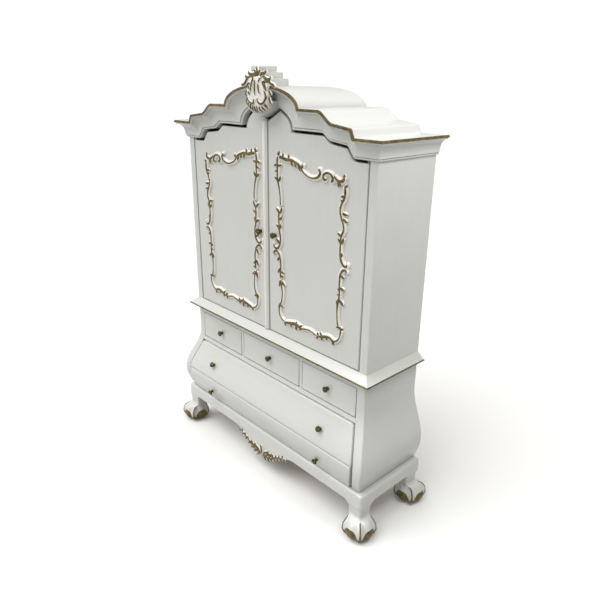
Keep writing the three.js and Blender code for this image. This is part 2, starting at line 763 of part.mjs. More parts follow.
function outlineWith(halfLine, halfWidth, z) {
  const right = halfLine.filter((p) => p.x < halfWidth - 1);
  const end = new THREE.Vector2(halfWidth, halfLine[halfLine.length - 1].y);
  const line = [...right, end];
  return [
    ...mirrored(line.slice(1)),
    ...line,
    new THREE.Vector2(halfWidth, z),
    new THREE.Vector2(-halfWidth, z),
  ];
}

const insideHalf = W - SIDE_THICK - GAP;
add('upper_back', slab(outlineWith(REBATE_HALF, insideHalf, WAIST_TOP + GAP), D - BACK_THICK, D), BARE_WOOD);

const shelfRise = (LIP_Z - CORNICE_HEIGHT - WAIST_TOP) / (SHELF_COUNT + 1);
for (let i = 1; i <= SHELF_COUNT; i += 1) {
  const z = WAIST_TOP + i * shelfRise;
  board(
    `shelf_${i}`,
    [-insideHalf, insideHalf],
    [SHELF_SETBACK, D - BACK_THICK - GAP],
    [z - SHELF_THICK, z],
    BARE_WOOD,
  );
}

// ---- cornice and roof ----

// How far out the moulding stands, from its lower edge (0) to its lip (1).
const CORNICE_PROFILE = [
  [8, 0], [9, 0.12], [15, 0.14], [16, 0.22], [20, 0.4], [29, 0.6], [43, 0.78], [52, 0.83],
  [CORNICE_OUT - 2, 0.86], [CORNICE_OUT, 0.9], [CORNICE_OUT, 1],
];

function corniceFront() {
  const stations = LIP_HALF.map((lip, i) => ({
    lip, under: REBATE_HALF[i], low: FRIEZE_HALF[i], back: FRIEZE_DEPTH,
  }));
  const lowZ = LIP_Z - CORNICE_HEIGHT;
  const flat = (x, back) => ({
    lip: new THREE.Vector2(x, LIP_Z),
    under: new THREE.Vector2(x, LIP_Z - ROOF_THICK - GAP),
    low: new THREE.Vector2(x, lowZ),
    back,
  });
  stations.push(flat(insideHalf, FRIEZE_DEPTH), flat(insideHalf + GAP, -GAP));
  const ring = (side, { lip, under, low, back }) => {
    const face = CORNICE_PROFILE.map(([out, t]) => (
      point(side * mix(low.x, lip.x, t), -out, mix(low.y, lip.y, t))
    ));
    return [
      point(side * low.x, back, low.y),
      ...face,
      point(side * lip.x, -CORNICE_OUT + LIP_WIDTH, lip.y),
      point(side * under.x, -CORNICE_OUT + LIP_WIDTH, under.y),
      point(side * under.x, back, under.y),
    ];
  };
  const mitre = (side) => ring(side, flat(W, -GAP)).map((p) => point(side * (W - p.y), p.y, p.z));
  const right = stations.map((station) => ring(1, station));
  const left = stations.slice(1).reverse().map((station) => ring(-1, station));
  const body = loft([mitre(-1), ...left, ...right, mitre(1)]);
  const spring = LIP_Z + KEYSTONE_SPRING;
  const keystoneLine = [
    new THREE.Vector2(0, LIP_Z + KEYSTONE_TIP),
    new THREE.Vector2(KEYSTONE_HALF, spring),
    new THREE.Vector2(KEYSTONE_HALF, spring + KEYSTONE_ROOT),
  ];
  const keystone = slab([...mirrored(keystoneLine.slice(1)), ...keystoneLine], -CORNICE_OUT, FRIEZE_DEPTH);
  const holeTop = lowZ + PIN_IN_FRAME + HOLE_DEEPER;
  const holes = [-HINGE_X, HINGE_X].map((x) => pinHole(x, lowZ - CUT_PAST, holeTop));
  add('cornice_front', cut(join(body, keystone), holes), WHITE);
}

function corniceSide(name, side) {
  const face = CORNICE_PROFILE.map(([out, t]) => [out, mix(LIP_Z - CORNICE_HEIGHT, LIP_Z, t)]);
  const under = LIP_Z - ROOF_THICK - GAP;
  const section = [
    [GAP, LIP_Z - CORNICE_HEIGHT], ...face,
    [CORNICE_OUT - LIP_WIDTH, LIP_Z], [CORNICE_OUT - LIP_WIDTH, under], [GAP, under],
  ];
  const rings = [
    section.map(([out, z]) => point(side * (W + out), -out + GAP * 2, z)),
    section.map(([out, z]) => point(side * (W + out), D, z)),
  ];
  add(name, loft(rings), WHITE);
}

function roof() {
  const end = W + CORNICE_OUT - LIP_WIDTH - GAP;
  const close = (half) => [...half, new THREE.Vector2(end, half[half.length - 1].y)];
  const top = close(LIP_HALF);
  const under = close(ROOF_UNDER_HALF);
  const outline = [
    ...mirrored(top.slice(1)), ...top,
    ...under.slice().reverse(), ...mirrored(under.slice(1)).reverse(),
  ];
  add('roof_shell', slab(outline, -CORNICE_OUT + LIP_WIDTH + GAP, D), WHITE);
}

corniceFront();
corniceSide('cornice_left', -1);
corniceSide('cornice_right', 1);
roof();

// ---- crest ----

function crestCartouche() {
  const at = ([x, z]) => new THREE.Vector2(x, LIP_Z + z);
  const right = CARTOUCHE_LINE.map(at);
  const outline = [at([0, KEYSTONE_TIP]), ...right, at([0, CARTOUCHE_TOP]), ...mirrored(right)];
  const back = -CORNICE_OUT - GAP;
  add('crest_cartouche', slab(outline, back - CARTOUCHE_DEPTH, back), GOLD);
}

// Stepped block behind the cartouche, standing on the crown of the roof.
function crestBlock() {
  const base = LIP_Z + LIP_LINE.apex + BLOCK_SEAT;
  const front = -CORNICE_OUT + LIP_WIDTH / 2;
  const fall = LIP_LINE.apex - LIP_LINE.shoulder;
  const crown = (x) => base - fall * (1 - Math.sqrt(1 - (x / LIP_LINE.arch) ** 2));
  const steps = [];
  for (let i = 0; i < BLOCK_LAYERS; i += 1) {
    const back = front + BLOCK_LENGTH - BLOCK_STEP * i;
    const top = base + BLOCK_LAYER * (i + 1);
    steps.push([back, top - BLOCK_LAYER], [back, top - BLOCK_EDGE], [back - BLOCK_EDGE, top]);
  }
  const rings = heights(-BLOCK_HALF, BLOCK_HALF, 4).map((x) => [
    point(x, front, crown(x)),
    point(x, front + BLOCK_LENGTH, crown(x)),
    ...steps.slice(1).map(([y, z]) => point(x, y, z)),
    point(x, front, base + BLOCK_LAYER * BLOCK_LAYERS),
  ]);
  add('crest_block', loft(rings), WHITE);
}

crestCartouche();
crestBlock();

// ---- doors ----

function doorOutline() {
  const tip = LIP_Z + KEYSTONE_TIP - DOOR_TOP_GAP;
  const spring = LIP_Z + KEYSTONE_SPRING - DOOR_TOP_GAP;
  const slope = (spring - tip) / KEYSTONE_HALF;
  const inner = MEETING_GAP;
  const keystoneLine = (x) => tip + slope * x;
  const top = DOOR_TOP_HALF.filter((p) => p.x > KEYSTONE_HALF && p.x < DOOR_OUTER_X - 1);
  return [
    new THREE.Vector2(inner, DOOR_BOTTOM),
    new THREE.Vector2(inner, keystoneLine(inner)),
    new THREE.Vector2(KEYSTONE_HALF, spring),
    ...top,
    new THREE.Vector2(DOOR_OUTER_X, DOOR_TOP_HALF[DOOR_TOP_HALF.length - 1].y),
    new THREE.Vector2(DOOR_OUTER_X, DOOR_BOTTOM),
  ];
}

// A band of carving round the door's panel: plain here, with its top sloping to the outside.
function ornamentFrame() {
  const foot = WAIST_TOP + ORNAMENT_FOOT_RISE;
  const at = (x, z) => new THREE.Vector2(x, z);
  const corners = (inset) => {
    const footMargin = ORNAMENT_FOOT_MARGIN + inset;
    const topMargin = ORNAMENT_TOP_MARGIN + inset;
    return [
      at(MEETING_GAP + footMargin, foot + inset),
      at(DOOR_OUTER_X - footMargin, foot + inset),
      at(DOOR_OUTER_X - topMargin, LIP_Z - ORNAMENT_OUTER_DROP - inset),
      at(MEETING_GAP + topMargin, LIP_Z - ORNAMENT_INNER_DROP - inset),
    ];
  };
  return slab(corners(0), -ORNAMENT_THICK - GAP, -GAP, [corners(ORNAMENT_BAND).reverse()]);
}

function flipX(geometry) {
  const mirroredGeometry = geometry.index ? geometry.toNonIndexed() : geometry.clone();
  mirroredGeometry.deleteAttribute('normal');
  mirroredGeometry.deleteAttribute('uv');
  mirroredGeometry.scale(-1, 1, 1);
  const merged = mergeVertices(mirroredGeometry, 1e-4);
  merged.setIndex(Array.from(merged.index.array).reverse());
  return merged;
}

const frameTop = LIP_Z - CORNICE_HEIGHT;
const doorCorner = DOOR_TOP_HALF[DOOR_TOP_HALF.length - 1].y;
const holeDepth = PIN_IN_DOOR + HOLE_DEEPER;
const pinHoles = [
  pinHole(HINGE_X, DOOR_BOTTOM - CUT_PAST, DOOR_BOTTOM + holeDepth),
  pinHole(HINGE_X, doorCorner - holeDepth, doorCorner + CUT_PAST),
];
const doorSlab = cut(slab(doorOutline(), 0, DOOR_THICK, [], DOOR_BEVEL), pinHoles);
const doorOrnament = ornamentFrame();
add('door_right_slab', doorSlab, WHITE);
add('door_left_slab', flipX(doorSlab), WHITE);
add('door_right_ornament', doorOrnament, GOLD);
add('door_left_ornament', flipX(doorOrnament), GOLD);

function pin(name, x, z0, z1) {
  const geometry = new THREE.CylinderGeometry(PIN_RADIUS, PIN_RADIUS, z1 - z0, 16);
  const mesh = add(name, geometry, STEEL);
  mesh.rotation.x = Math.PI / 2;
  mesh.position.set(x, PIN_Y, (z0 + z1) / 2);
}

for (const [place, x] of [['left', -HINGE_X], ['right', HINGE_X]]) {
  pin(`door_${place}_pin_top`, x, doorCorner - PIN_IN_DOOR, frameTop + PIN_IN_FRAME);
  pin(`door_${place}_pin_bottom`, x, WAIST_TOP - PIN_IN_FRAME, DOOR_BOTTOM + PIN_IN_DOOR);
}
knob('door_left_knob', LEFT_KNOB_X, 0, WAIST_TOP + DOOR_KNOB_RISE);
knob('door_right_knob', RIGHT_KNOB_X, 0, WAIST_TOP + DOOR_KNOB_RISE);

// Rounded strip on the left door's free edge, over the joint between the doors.
function astragal() {
  const right = -MEETING_GAP - GAP;
  const middle = right - ASTRAGAL_WIDTH / 2;
  const edge = -GAP - 1;
  const crown = heights(0, Math.PI, ASTRAGAL_STEPS).map((turn) => [
    middle + (ASTRAGAL_WIDTH / 2) * Math.cos(turn),
    edge - (ASTRAGAL_PROUD - 1) * Math.sin(turn),
  ]);
  const outline = [[right, -GAP], ...crown, [right - ASTRAGAL_WIDTH, -GAP]];
  const top = LIP_Z + KEYSTONE_TIP - DOOR_TOP_GAP;
  const rings = [DOOR_BOTTOM + ASTRAGAL_FOOT, top].map((z) => outline.map(([x, y]) => point(x, y, z)));
  add('door_left_astragal', loft(rings), WHITE);
}
astragal();

// The whole is centred front to back over the middle of its outer box.
armoire.position.y = (FRONT_REACH - BACK_REACH) / 2;

export default armoire;
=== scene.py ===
"""Looks for the armoire: painted case, carved and gilded ornament, patinated knobs.

Every piece is worked out in millimetres, with y = 0 on the front edges of the upper case
and z = 0 on the floor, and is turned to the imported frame's metres as its mesh is made.
"""

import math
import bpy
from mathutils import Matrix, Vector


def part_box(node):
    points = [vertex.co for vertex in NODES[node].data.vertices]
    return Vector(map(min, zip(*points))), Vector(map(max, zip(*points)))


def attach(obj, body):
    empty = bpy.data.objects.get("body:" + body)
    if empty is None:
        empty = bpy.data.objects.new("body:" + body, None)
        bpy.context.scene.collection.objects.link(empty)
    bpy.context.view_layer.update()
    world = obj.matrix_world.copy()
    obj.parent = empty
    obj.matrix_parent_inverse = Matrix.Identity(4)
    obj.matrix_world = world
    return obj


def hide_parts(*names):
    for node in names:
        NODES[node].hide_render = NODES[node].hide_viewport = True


bl_info = {
    "name": "Armoire Finish",
    "version": (1, 0, 0),
    "blender": (4, 5, 0),
    "location": "View3D > Sidebar > Armoire",
    "description": "Builds the visible surfaces of the armoire round its packed frame",
    "category": "Object",
}

import bpy
import numpy as np
from bpy.props import FloatProperty, FloatVectorProperty, PointerProperty
from mathutils import Matrix, Vector

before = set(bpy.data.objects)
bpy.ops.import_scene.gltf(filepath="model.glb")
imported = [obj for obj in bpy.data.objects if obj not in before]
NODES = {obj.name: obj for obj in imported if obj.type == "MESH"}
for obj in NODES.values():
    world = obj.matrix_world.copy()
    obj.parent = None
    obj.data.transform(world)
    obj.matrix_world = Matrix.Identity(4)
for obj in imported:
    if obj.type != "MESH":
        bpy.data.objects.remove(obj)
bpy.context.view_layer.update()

MM = 0.001


def in_millimetres(points):
    """Points of the frame in millimetres, measured back from the upper case's front edges."""
    return (points - np.array([0.0, FRONT, 0.0])) / MM


def span(node):
    """Lowest and highest corner of a CAD node's box, in millimetres."""
    return tuple(in_millimetres(np.array(corner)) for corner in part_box(node))


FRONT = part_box("upper_side_right")[0].y
HALF, DEPTH, _ = span("upper_side_right")[1]
LIP_Z = span("cornice_right")[1][2]
LIP_OUT = span("cornice_right")[1][0] - HALF
CORNICE_FOOT = span("cornice_right")[0][2]
WAIST_FOOT, WAIST_TOP = span("waist_front")[0][2], span("waist_front")[1][2]
BASE_X = span("base_rail_right")[1][0]
BASE_Y = span("apron_front")[0][1]
BASE_TOP = span("apron_front")[1][2]
CHEST_FOOT, CHEST_TOP = span("chest_side_right")[0][2], span("chest_side_right")[1][2]
GAP = 0.3  # clearance between two pieces that meet
SIDE_THICK = 22.0  # side boards of the upper case


# ---- finishes ----


def linear(code):
    """An sRGB hex colour as linear red, green and blue."""
    values = (int(code[i : i + 2], 16) / 255 for i in (0, 2, 4))
    return tuple(v / 12.92 if v <= 0.04045 else ((v + 0.055) / 1.055) ** 2.4 for v in values)


def rgba(colour):
    """A colour with its alpha, as a shader's socket takes it."""
    return (*colour[:3], 1.0)


def add_node(tree, kind, inputs=None, **settings):
    """Adds a shader node. inputs maps a socket's number, or the name of a socket in use, to a
    value, to another node's socket, or to a node whose first output in use is meant."""
    node = tree.nodes.new("ShaderNode" + kind)
    for key, value in settings.items():
        setattr(node, key, value)
    for key, value in (inputs or {}).items():
        used = [socket for socket in node.inputs if socket.enabled and socket.name == key]
        socket = used[0] if used else node.inputs[key]
        if isinstance(value, bpy.types.Node):
            value = next(output for output in value.outputs if output.enabled)
        if isinstance(value, bpy.types.NodeSocket):
            tree.links.new(value, socket)
        else:
            socket.default_value = value
    return node


def new_material(name):
    """A material whose node tree is still empty."""
    material = bpy.data.materials.new(name)
    material.use_nodes = True
    material.node_tree.nodes.clear()
    return material


def shade(material, surface):
    """Ends a material's nodes with a Principled shader; surface maps its sockets to values."""
    tree = material.node_tree
    shader = add_node(tree, "BsdfPrincipled", surface)
    add_node(tree, "OutputMaterial", {"Surface": shader})
    return material


def oil_paint(name, colours, along):
    """White oil paint brushed over wood in two coats and left glossy.

    The eye gets a soft, slightly uneven shine, faint laid-off brush marks that run along the
    board, a cloudy warmth from age and a few small chips. Real marks are about 1.5 mm apart;
    they are drawn 7 mm apart, because finer ones would not show.
    """
    return brushed_paint(name, colours.paint, colours.paint_aged, colours, along)


def highlighted_oil_paint(name, colours):
    """A brighter copy of the same paint for the carving and the bead: a painted highlight for the
    light they catch, so the eye gets a brighter and rounder white beside the gold."""
    return brushed_paint(name, colours.carving, colours.carving_aged, colours, "Z")


def brushed_paint(name, clean, aged, colours, along):
    """Nodes of the two white paints; along is the axis that the brush followed."""
    material = new_material(name)
    tree = material.node_tree
    place = add_node(tree, "TexCoord").outputs["Object"]
    mark_gap, mark_length = 7 * MM, 260 * MM
    scale = [1 / (mark_length if axis == along else mark_gap) for axis in "XYZ"]
    brushed = add_node(tree, "Mapping", {"Vector": place, "Scale": scale})
    marks = add_node(
        tree, "TexNoise", {"Vector": brushed, "Scale": 1.0, "Detail": 3.0, "Roughness": 0.55}
    )
    cloud = add_node(
        tree, "TexNoise",
        {"Vector": place, "Scale": 1 / (260 * MM), "Detail": 2.0, "Roughness": 0.5},
    )
    orange_peel = add_node(
        tree, "TexNoise", {"Vector": place, "Scale": 1 / (9 * MM), "Detail": 2.0}
    )
    chip_cells = add_node(
        tree, "TexVoronoi", {"Vector": place, "Scale": 1 / (46 * MM), "Randomness": 1.0}
    )
    chip_places = add_node(
        tree, "TexNoise", {"Vector": place, "Scale": 1 / (110 * MM), "Detail": 2.0}
    )
    chip_shape = add_node(
        tree, "MapRange",
        {"Value": chip_cells, "From Min": 0.05, "From Max": 0.075, "To Min": 1.0, "To Max": 0.0},
    )
    chip_zone = add_node(
        tree, "MapRange", {"Value": chip_places, "From Min": 0.71, "From Max": 0.73}
    )
    chips = add_node(tree, "Math", {0: chip_shape, 1: chip_zone}, operation="MULTIPLY")
    cloudy = add_node(
        tree, "MapRange", {"Value": cloud, "From Min": 0.1, "From Max": 0.9},
        interpolation_type="SMOOTHSTEP",
    )
    streaks = add_node(
        tree, "MapRange",
        {"Value": marks, "From Min": 0.3, "From Max": 0.75, "To Min": 0.0, "To Max": 0.25},
    )
    colour = add_node(
        tree, "Mix", {"Factor": cloudy, "A": rgba(clean), "B": rgba(aged)}, data_type="RGBA"
    )
    for amount, over in ((streaks, colours.paint_streak), (chips, colours.undercoat)):
        colour = add_node(
            tree, "Mix", {"Factor": amount, "A": colour, "B": rgba(over)}, data_type="RGBA"
        )
    sheen = add_node(
        tree, "MapRange",
        {"Value": marks, "From Min": 0.3, "From Max": 0.7, "To Min": 0.245, "To Max": 0.265},
    )
    relief = add_node(tree, "Math", {0: marks, 1: orange_peel}, operation="ADD")
    sunk = add_node(tree, "Math", {0: relief, 1: chips}, operation="SUBTRACT")
    bump = add_node(tree, "Bump", {"Height": sunk, "Strength": 0.05, "Distance": 0.5 * MM})
    return shade(
        material,
        {"Base Color": colour, "Roughness": sheen, "Normal": bump, "IOR": 1.48,
         "Coat Weight": 0.35, "Coat Roughness": 0.12},
    )


def antique_gold_paint(name, colours):
    """Bronze-powder paint, laid over the carving and rubbed back with a dark glaze.

    The eye gets a dull old gold that turns olive brown in random patches about 24 mm across, with
    the powder's fine sparkle drawn at 3 mm because real grains would not show.
    """
    material = new_material(name)
    tree = material.node_tree
    place = add_node(tree, "TexCoord").outputs["Object"]
    glaze = add_node(
        tree, "TexNoise",
        {"Vector": place, "Scale": 1 / (24 * MM), "Detail": 5.0, "Roughness": 0.65},
    )
    powder = add_node(tree, "TexNoise", {"Vector": place, "Scale": 1 / (3 * MM), "Detail": 1.0})
    rubbed = add_node(tree, "MapRange", {"Value": glaze, "From Min": 0.36, "From Max": 0.64})
    tint = add_node(
        tree, "Mix", {"Factor": rubbed, "A": rgba(colours.gold_glaze), "B": rgba(colours.gold)},
        data_type="RGBA",
    )
    dullness = add_node(
        tree, "MapRange",
        {"Value": powder, "From Min": 0.3, "From Max": 0.7, "To Min": 0.34, "To Max": 0.56},
    )
    bump = add_node(tree, "Bump", {"Height": powder, "Strength": 0.3, "Distance": 0.4 * MM})
    return shade(
        material, {"Base Color": tint, "Roughness": dullness, "Normal": bump, "Metallic": 0.45}
    )


def patinated_brass(name, colours):
    """Cast brass knobs, browned chemically and worn bright by hands.

    The eye gets a dark olive body with lighter yellow-green blotches about 5 mm across, placed at
    random: partly brass rubbed bright, partly painted glints that stand in for highlights.
    """
    material = new_material(name)
    tree = material.node_tree
    place = add_node(tree, "TexCoord").outputs["Object"]
    blotch = add_node(
        tree, "TexNoise",
        {"Vector": place, "Scale": 1 / (5 * MM), "Detail": 4.0, "Roughness": 0.7},
    )
    rubbed = add_node(tree, "MapRange", {"Value": blotch, "From Min": 0.5, "From Max": 0.68})
    # Lighter blotches: partly rubbed brass, partly painted glints.
    tint = add_node(
        tree, "Mix",
        {"Factor": rubbed, "A": rgba(colours.brass_patina), "B": rgba(colours.brass_rubbed_and_glint)},
        data_type="RGBA",
    )
    dullness = add_node(tree, "MapRange", {"Value": rubbed, "To Min": 0.5, "To Max": 0.3})
    bump = add_node(tree, "Bump", {"Height": blotch, "Strength": 0.25, "Distance": 0.5 * MM})
    return shade(
        material, {"Base Color": tint, "Roughness": dullness, "Normal": bump, "Metallic": 0.9}
    )


def planed_pine(name, colours, along):
    """Softwood boards, planed and left bare, for the insides and backs.

    The eye gets pale honey earlywood with soft latewood lines that wander along the board and
    fade in and out, boards of slightly different tints with a fine joint between them, and a
    dry surface. Real lines are about 3 mm apart; they are drawn 13 mm apart, because finer
    ones would not show. Where the boards run left to right, faces that look to the left or
    right carry the grain front to back.
    """
    material = new_material(name)
    tree = material.node_tree
    coordinates = add_node(tree, "TexCoord")
    place = coordinates.outputs["Object"]
    if along == "X":
        x, y, z = add_node(tree, "SeparateXYZ", {0: place}).outputs
        turned = add_node(tree, "CombineXYZ", {0: y, 1: x, 2: z})
        normal = add_node(tree, "SeparateXYZ", {0: coordinates.outputs["Normal"]})
        sideways = add_node(tree, "Math", {0: normal}, operation="ABSOLUTE")
        is_side = add_node(tree, "Math", {0: sideways, 1: 0.5}, operation="GREATER_THAN")
        place = add_node(
            tree, "Mix", {"Factor": is_side, "A": place, "B": turned}, data_type="VECTOR"
        )
    line_gap, board_width = 13 * MM, 122 * MM
    wander_gap, wander_length = 70 * MM, 900 * MM
    scale = [1 / (wander_length if axis == along else wander_gap) for axis in "XYZ"]
    stretched = add_node(tree, "Mapping", {"Vector": place, "Scale": scale})
    over = add_node(
        tree, "VectorMath", {0: place, 1: [float(axis != along) for axis in "XYZ"]},
        operation="DOT_PRODUCT",
    )
    boards = add_node(tree, "Math", {0: over, 1: 1 / board_width}, operation="MULTIPLY")
    board = add_node(tree, "Math", {0: boards}, operation="FLOOR")
    within = add_node(tree, "Math", {0: boards}, operation="FRACT")
    chance = add_node(tree, "TexWhiteNoise", {"W": board}, noise_dimensions="1D")
    wander = add_node(
        tree, "TexNoise", {"Vector": stretched, "Scale": 1.0, "Detail": 2.0, "Roughness": 0.45}
    )
    pores = add_node(
        tree, "TexNoise", {"Vector": stretched, "Scale": 5.0, "Detail": 3.0, "Roughness": 0.6}
    )
    lines = add_node(
        tree, "Math", {0: over, 1: 2 * math.pi / line_gap, 2: chance}, operation="MULTIPLY_ADD"
    )
    phase = add_node(tree, "Math", {0: wander, 1: 38.0, 2: lines}, operation="MULTIPLY_ADD")
    wave = add_node(tree, "Math", {0: phase}, operation="SINE")
    late = add_node(
        tree, "MapRange", {"Value": wave, "From Min": -0.5, "From Max": 1.0},
        interpolation_type="SMOOTHSTEP",
    )
    depth = add_node(
        tree, "MapRange",
        {"Value": pores, "From Min": 0.3, "From Max": 0.75, "To Min": 0.1, "To Max": 0.62},
    )
    latewood = add_node(tree, "Math", {0: late, 1: depth}, operation="MULTIPLY")
    darkness = add_node(tree, "Math", {0: chance, 1: 0.22, 2: latewood}, operation="MULTIPLY_ADD")
    grain = add_node(
        tree, "Mix",
        {"Factor": darkness, "A": rgba(colours.pine), "B": rgba(colours.pine_latewood)},
        data_type="RGBA",
    )
    joint = add_node(
        tree, "MapRange",
        {"Value": within, "From Min": 0.01, "From Max": 0.03, "To Min": 0.55, "To Max": 0.0},
    )
    jointed = add_node(
        tree, "Mix", {"Factor": joint, "A": grain, "B": rgba(colours.pine_joint)},
        data_type="RGBA",
    )
    dryness = add_node(tree, "MapRange", {"Value": pores, "To Min": 0.55, "To Max": 0.8})
    relief = add_node(tree, "Math", {0: latewood, 1: joint}, operation="SUBTRACT")
    bump = add_node(tree, "Bump", {"Height": relief, "Strength": 0.3, "Distance": 0.5 * MM})
    return shade(
        material, {"Base Color": jointed, "Roughness": dryness, "Normal": bump, "IOR": 1.45}
    )


def turned_steel(name, colours):
    """Bare turned steel of the pivot pins: grey, with tool rings about 1.6 mm apart, which is
    coarser than real ones so that they show."""
    material = new_material(name)
    tree = material.node_tree
    place = add_node(tree, "TexCoord").outputs["Object"]
    rings = add_node(
        tree, "TexWave", {"Vector": place, "Scale": 1 / (5 * MM), "Distortion": 0.6},
        bands_direction="Z",
    ).outputs["Fac"]
    dullness = add_node(tree, "MapRange", {"Value": rings, "To Min": 0.3, "To Max": 0.5})
    tint = add_node(
        tree, "Mix", {"Factor": rings, "A": rgba(colours.steel), "B": rgba(colours.steel_groove)},
        data_type="RGBA",
    )
    return shade(material, {"Base Color": tint, "Roughness": dullness, "Metallic": 1.0})


def finish(kind, along=""):
    """The named finish, made once; along is the axis that its marks or grain follow."""
    name = kind.__name__ + (f"_{along.lower()}" if along else "")
    found = bpy.data.materials.get(name)
    if found:
        return found
    colours = bpy.context.scene.armoire_colours
    return kind(name, colours, along) if along else kind(name, colours)


# ---- surfaces ----

MIRROR = np.array([-1.0, 1.0, 1.0])


def shell(rings):
    """A closed skin over a row of rings (n, m, 3): quads between neighbours, and a flat cap on
    the first and last ring. It is turned so that its signed volume, the sum of each face's
    corner products, is positive."""
    rings = np.asarray(rings, float)
    count, points = rings.shape[:2]
    index = np.arange(count * points).reshape(count, points)
    rows = np.hstack([index, index[:, :1]])
    corners = [rows[:-1, :-1], rows[:-1, 1:], rows[1:, 1:], rows[1:, :-1]]
    quads = np.stack(corners, -1).reshape(-1, 4)
    caps = [index[0, ::-1], index[-1]]
    verts = rings.reshape(-1, 3)
    a, b, c, d = (verts[quads[:, k]] for k in range(4))
    volume = np.sum(a * (np.cross(b, c) + np.cross(c, d)))
    for cap in caps:
        p = verts[cap]
        volume += np.sum(p[0] * np.cross(p[1:-1], p[2:]))
    if volume < 0:
        quads = quads[:, ::-1]
        caps = [cap[::-1] for cap in caps]
    return verts, quads, caps


def flipped(rings):
    """The same rings mirrored left to right."""
    return np.asarray(rings, float) * MIRROR


def mirrored(made):
    """A shell mirrored left to right, with its faces turned back to point outwards."""
    verts, quads, caps = made
    return verts * MIRROR, quads[:, ::-1], [cap[::-1] for cap in caps]


def add_to_scene(name, data):
    """A new object of the scene with this mesh, light or camera."""
    made = bpy.data.objects.new(name, data)
    bpy.context.scene.collection.objects.link(made)
    return made


def piece(name, shells, material, body="root", stands_for=(), crease=34):
    """Makes one object of the shells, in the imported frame. Quads are smooth and caps are flat,
    and edges sharper than crease degrees stay sharp."""
    verts, faces, smooth, start = [], [], [], 0
    for points, quads, caps in shells:
        verts.append(points)
        faces += (quads + start).tolist() + [(cap + start).tolist() for cap in caps]
        smooth += [True] * len(quads) + [False] * len(caps)
        start += len(points)
    verts = np.concatenate(verts) * MM + np.array([0.0, FRONT, 0.0])
    mesh = bpy.data.meshes.new(name)
    mesh.from_pydata(verts, [], faces)
    mesh.polygons.foreach_set("use_smooth", smooth)
    mesh.set_sharp_from_angle(angle=math.radians(crease))
    mesh.materials.append(material)
    made = add_to_scene(name, mesh)
    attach(made, body)
    if stands_for:
        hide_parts(*stands_for)
    return made


def through(knots, values, at):
    """A smooth curve through values at rising knots: cubic pieces whose slope at each knot is
    the mean slope of its two neighbours."""
    knots, values = np.asarray(knots, float), np.asarray(values, float)
    at = np.clip(at, knots[0], knots[-1])
    slopes = np.gradient(values, knots, axis=0)
    k = np.clip(np.searchsorted(knots, at, side="right") - 1, 0, len(knots) - 2)
    step = knots[k + 1] - knots[k]
    t = (at - knots[k]) / step
    if values.ndim > 1:
        t, step = t[:, None], step[:, None]
    return (
        (2 * t**3 - 3 * t**2 + 1) * values[k]
        + (t**3 - 2 * t**2 + t) * step * slopes[k]
        + (3 * t**2 - 2 * t**3) * values[k + 1]
        + (t**3 - t**2) * step * slopes[k + 1]
    )


def curve(points, spacing=3.0):
    """A smooth line through points, sampled about every spacing millimetres."""
    points = np.asarray(points, float)
    steps = np.linalg.norm(np.diff(points, axis=0), axis=1)
    knots = np.concatenate([[0], np.cumsum(steps)])
    count = max(6, int(knots[-1] / spacing))
    return through(knots, points, np.linspace(0, knots[-1], count))


def inset(outline, distance):
    """A closed outline (n, 2) moved inwards: each corner moves along the mitre of its two
    edges' normals. Outlines run anticlockwise."""
    edge = np.roll(outline, -1, axis=0) - outline
    edge /= np.linalg.norm(edge, axis=1, keepdims=True)
    normal = np.stack([-edge[:, 1], edge[:, 0]], 1)
    before = np.roll(normal, 1, axis=0)
    cosine = np.sum(normal * before, axis=1, keepdims=True)
    return outline + distance * (normal + before) / (1 + np.maximum(cosine, -0.2))


def quarter(radius, steps=4):
    """A rounded edge as a quarter circle: how far each point lies in from the side, and how
    far in from the face."""
    a = np.linspace(0, math.pi / 2, steps + 1)
    return radius * (1 - np.sin(a)), radius * (1 - np.cos(a))


def plate(outline, front, back, radius, back_radius=1.0):
    """A flat board with an outline in x and z, from y = front to back. Its front edge is a
    quarter circle of the radius, its back edge a smaller one, and each has a narrow flat ring
    beside it so that the shading of the face stays flat."""
    front_in, front_fall = quarter(radius)
    back_in, back_fall = (part[::-1] for part in quarter(back_radius))
    distances = [radius + 1.0, *front_in, *back_in, back_radius + 1.0]
    levels = [front, *(front + front_fall), *(back - back_fall), back]
    lines = [(inset(outline, distance), y) for distance, y in zip(distances, levels)]
    return shell([np.insert(line, 1, y, axis=1) for line, y in lines])


# ---- the arched outline shared by the roof, cornice and doors ----

ARCH_STEPS = 40
SWAY_STEPS = 18
LIP_LINE = {
    "arch": 278, "apex": 200, "shoulder": 102, "shoulder_end": 314,
    "sweep_end": 213, "sweep": 50, "dip_end": 113, "dip": 37, "step_end": 89, "flat": 0,
}
FRIEZE_LINE = {
    "arch": 192, "apex": 112, "shoulder": 4, "shoulder_end": 333,
    "sweep_end": 269, "sweep": -28, "dip_end": 179, "dip": -38, "step_end": 121,
    "flat": CORNICE_FOOT - LIP_Z,
}


def half_line(line, distance=0.0):
    """The outline from the centre to the flat end, moved inwards by distance, as x and z.
    The arch is a quarter ellipse. The sweep and the step each fall by half a cosine."""
    turn = np.linspace(0, math.pi / 2, ARCH_STEPS + 1)
    arch = np.stack(
        [
            (line["arch"] - distance) * np.sin(turn),
            line["shoulder"] - distance + (line["apex"] - line["shoulder"]) * np.cos(turn),
        ],
        1,
    )
    t = np.linspace(0, 1, SWAY_STEPS + 1)
    fall = (1 - np.cos(math.pi * t)) / 2

    def sway(x0, z0, x1, z1):
        return np.stack([x0 + (x1 - x0) * t, z0 + (z1 - z0) * fall - distance], 1)

    sweep = sway(
        HALF - line["shoulder_end"] - distance / 2, line["shoulder"],
        HALF - line["sweep_end"] - distance / 2, line["sweep"],
    )
    step = sway(
        HALF - line["dip_end"] - distance, line["dip"],
        HALF - line["step_end"] - distance, line["flat"],
    )
    return np.concatenate([arch, sweep, step]) + np.array([0, LIP_Z])


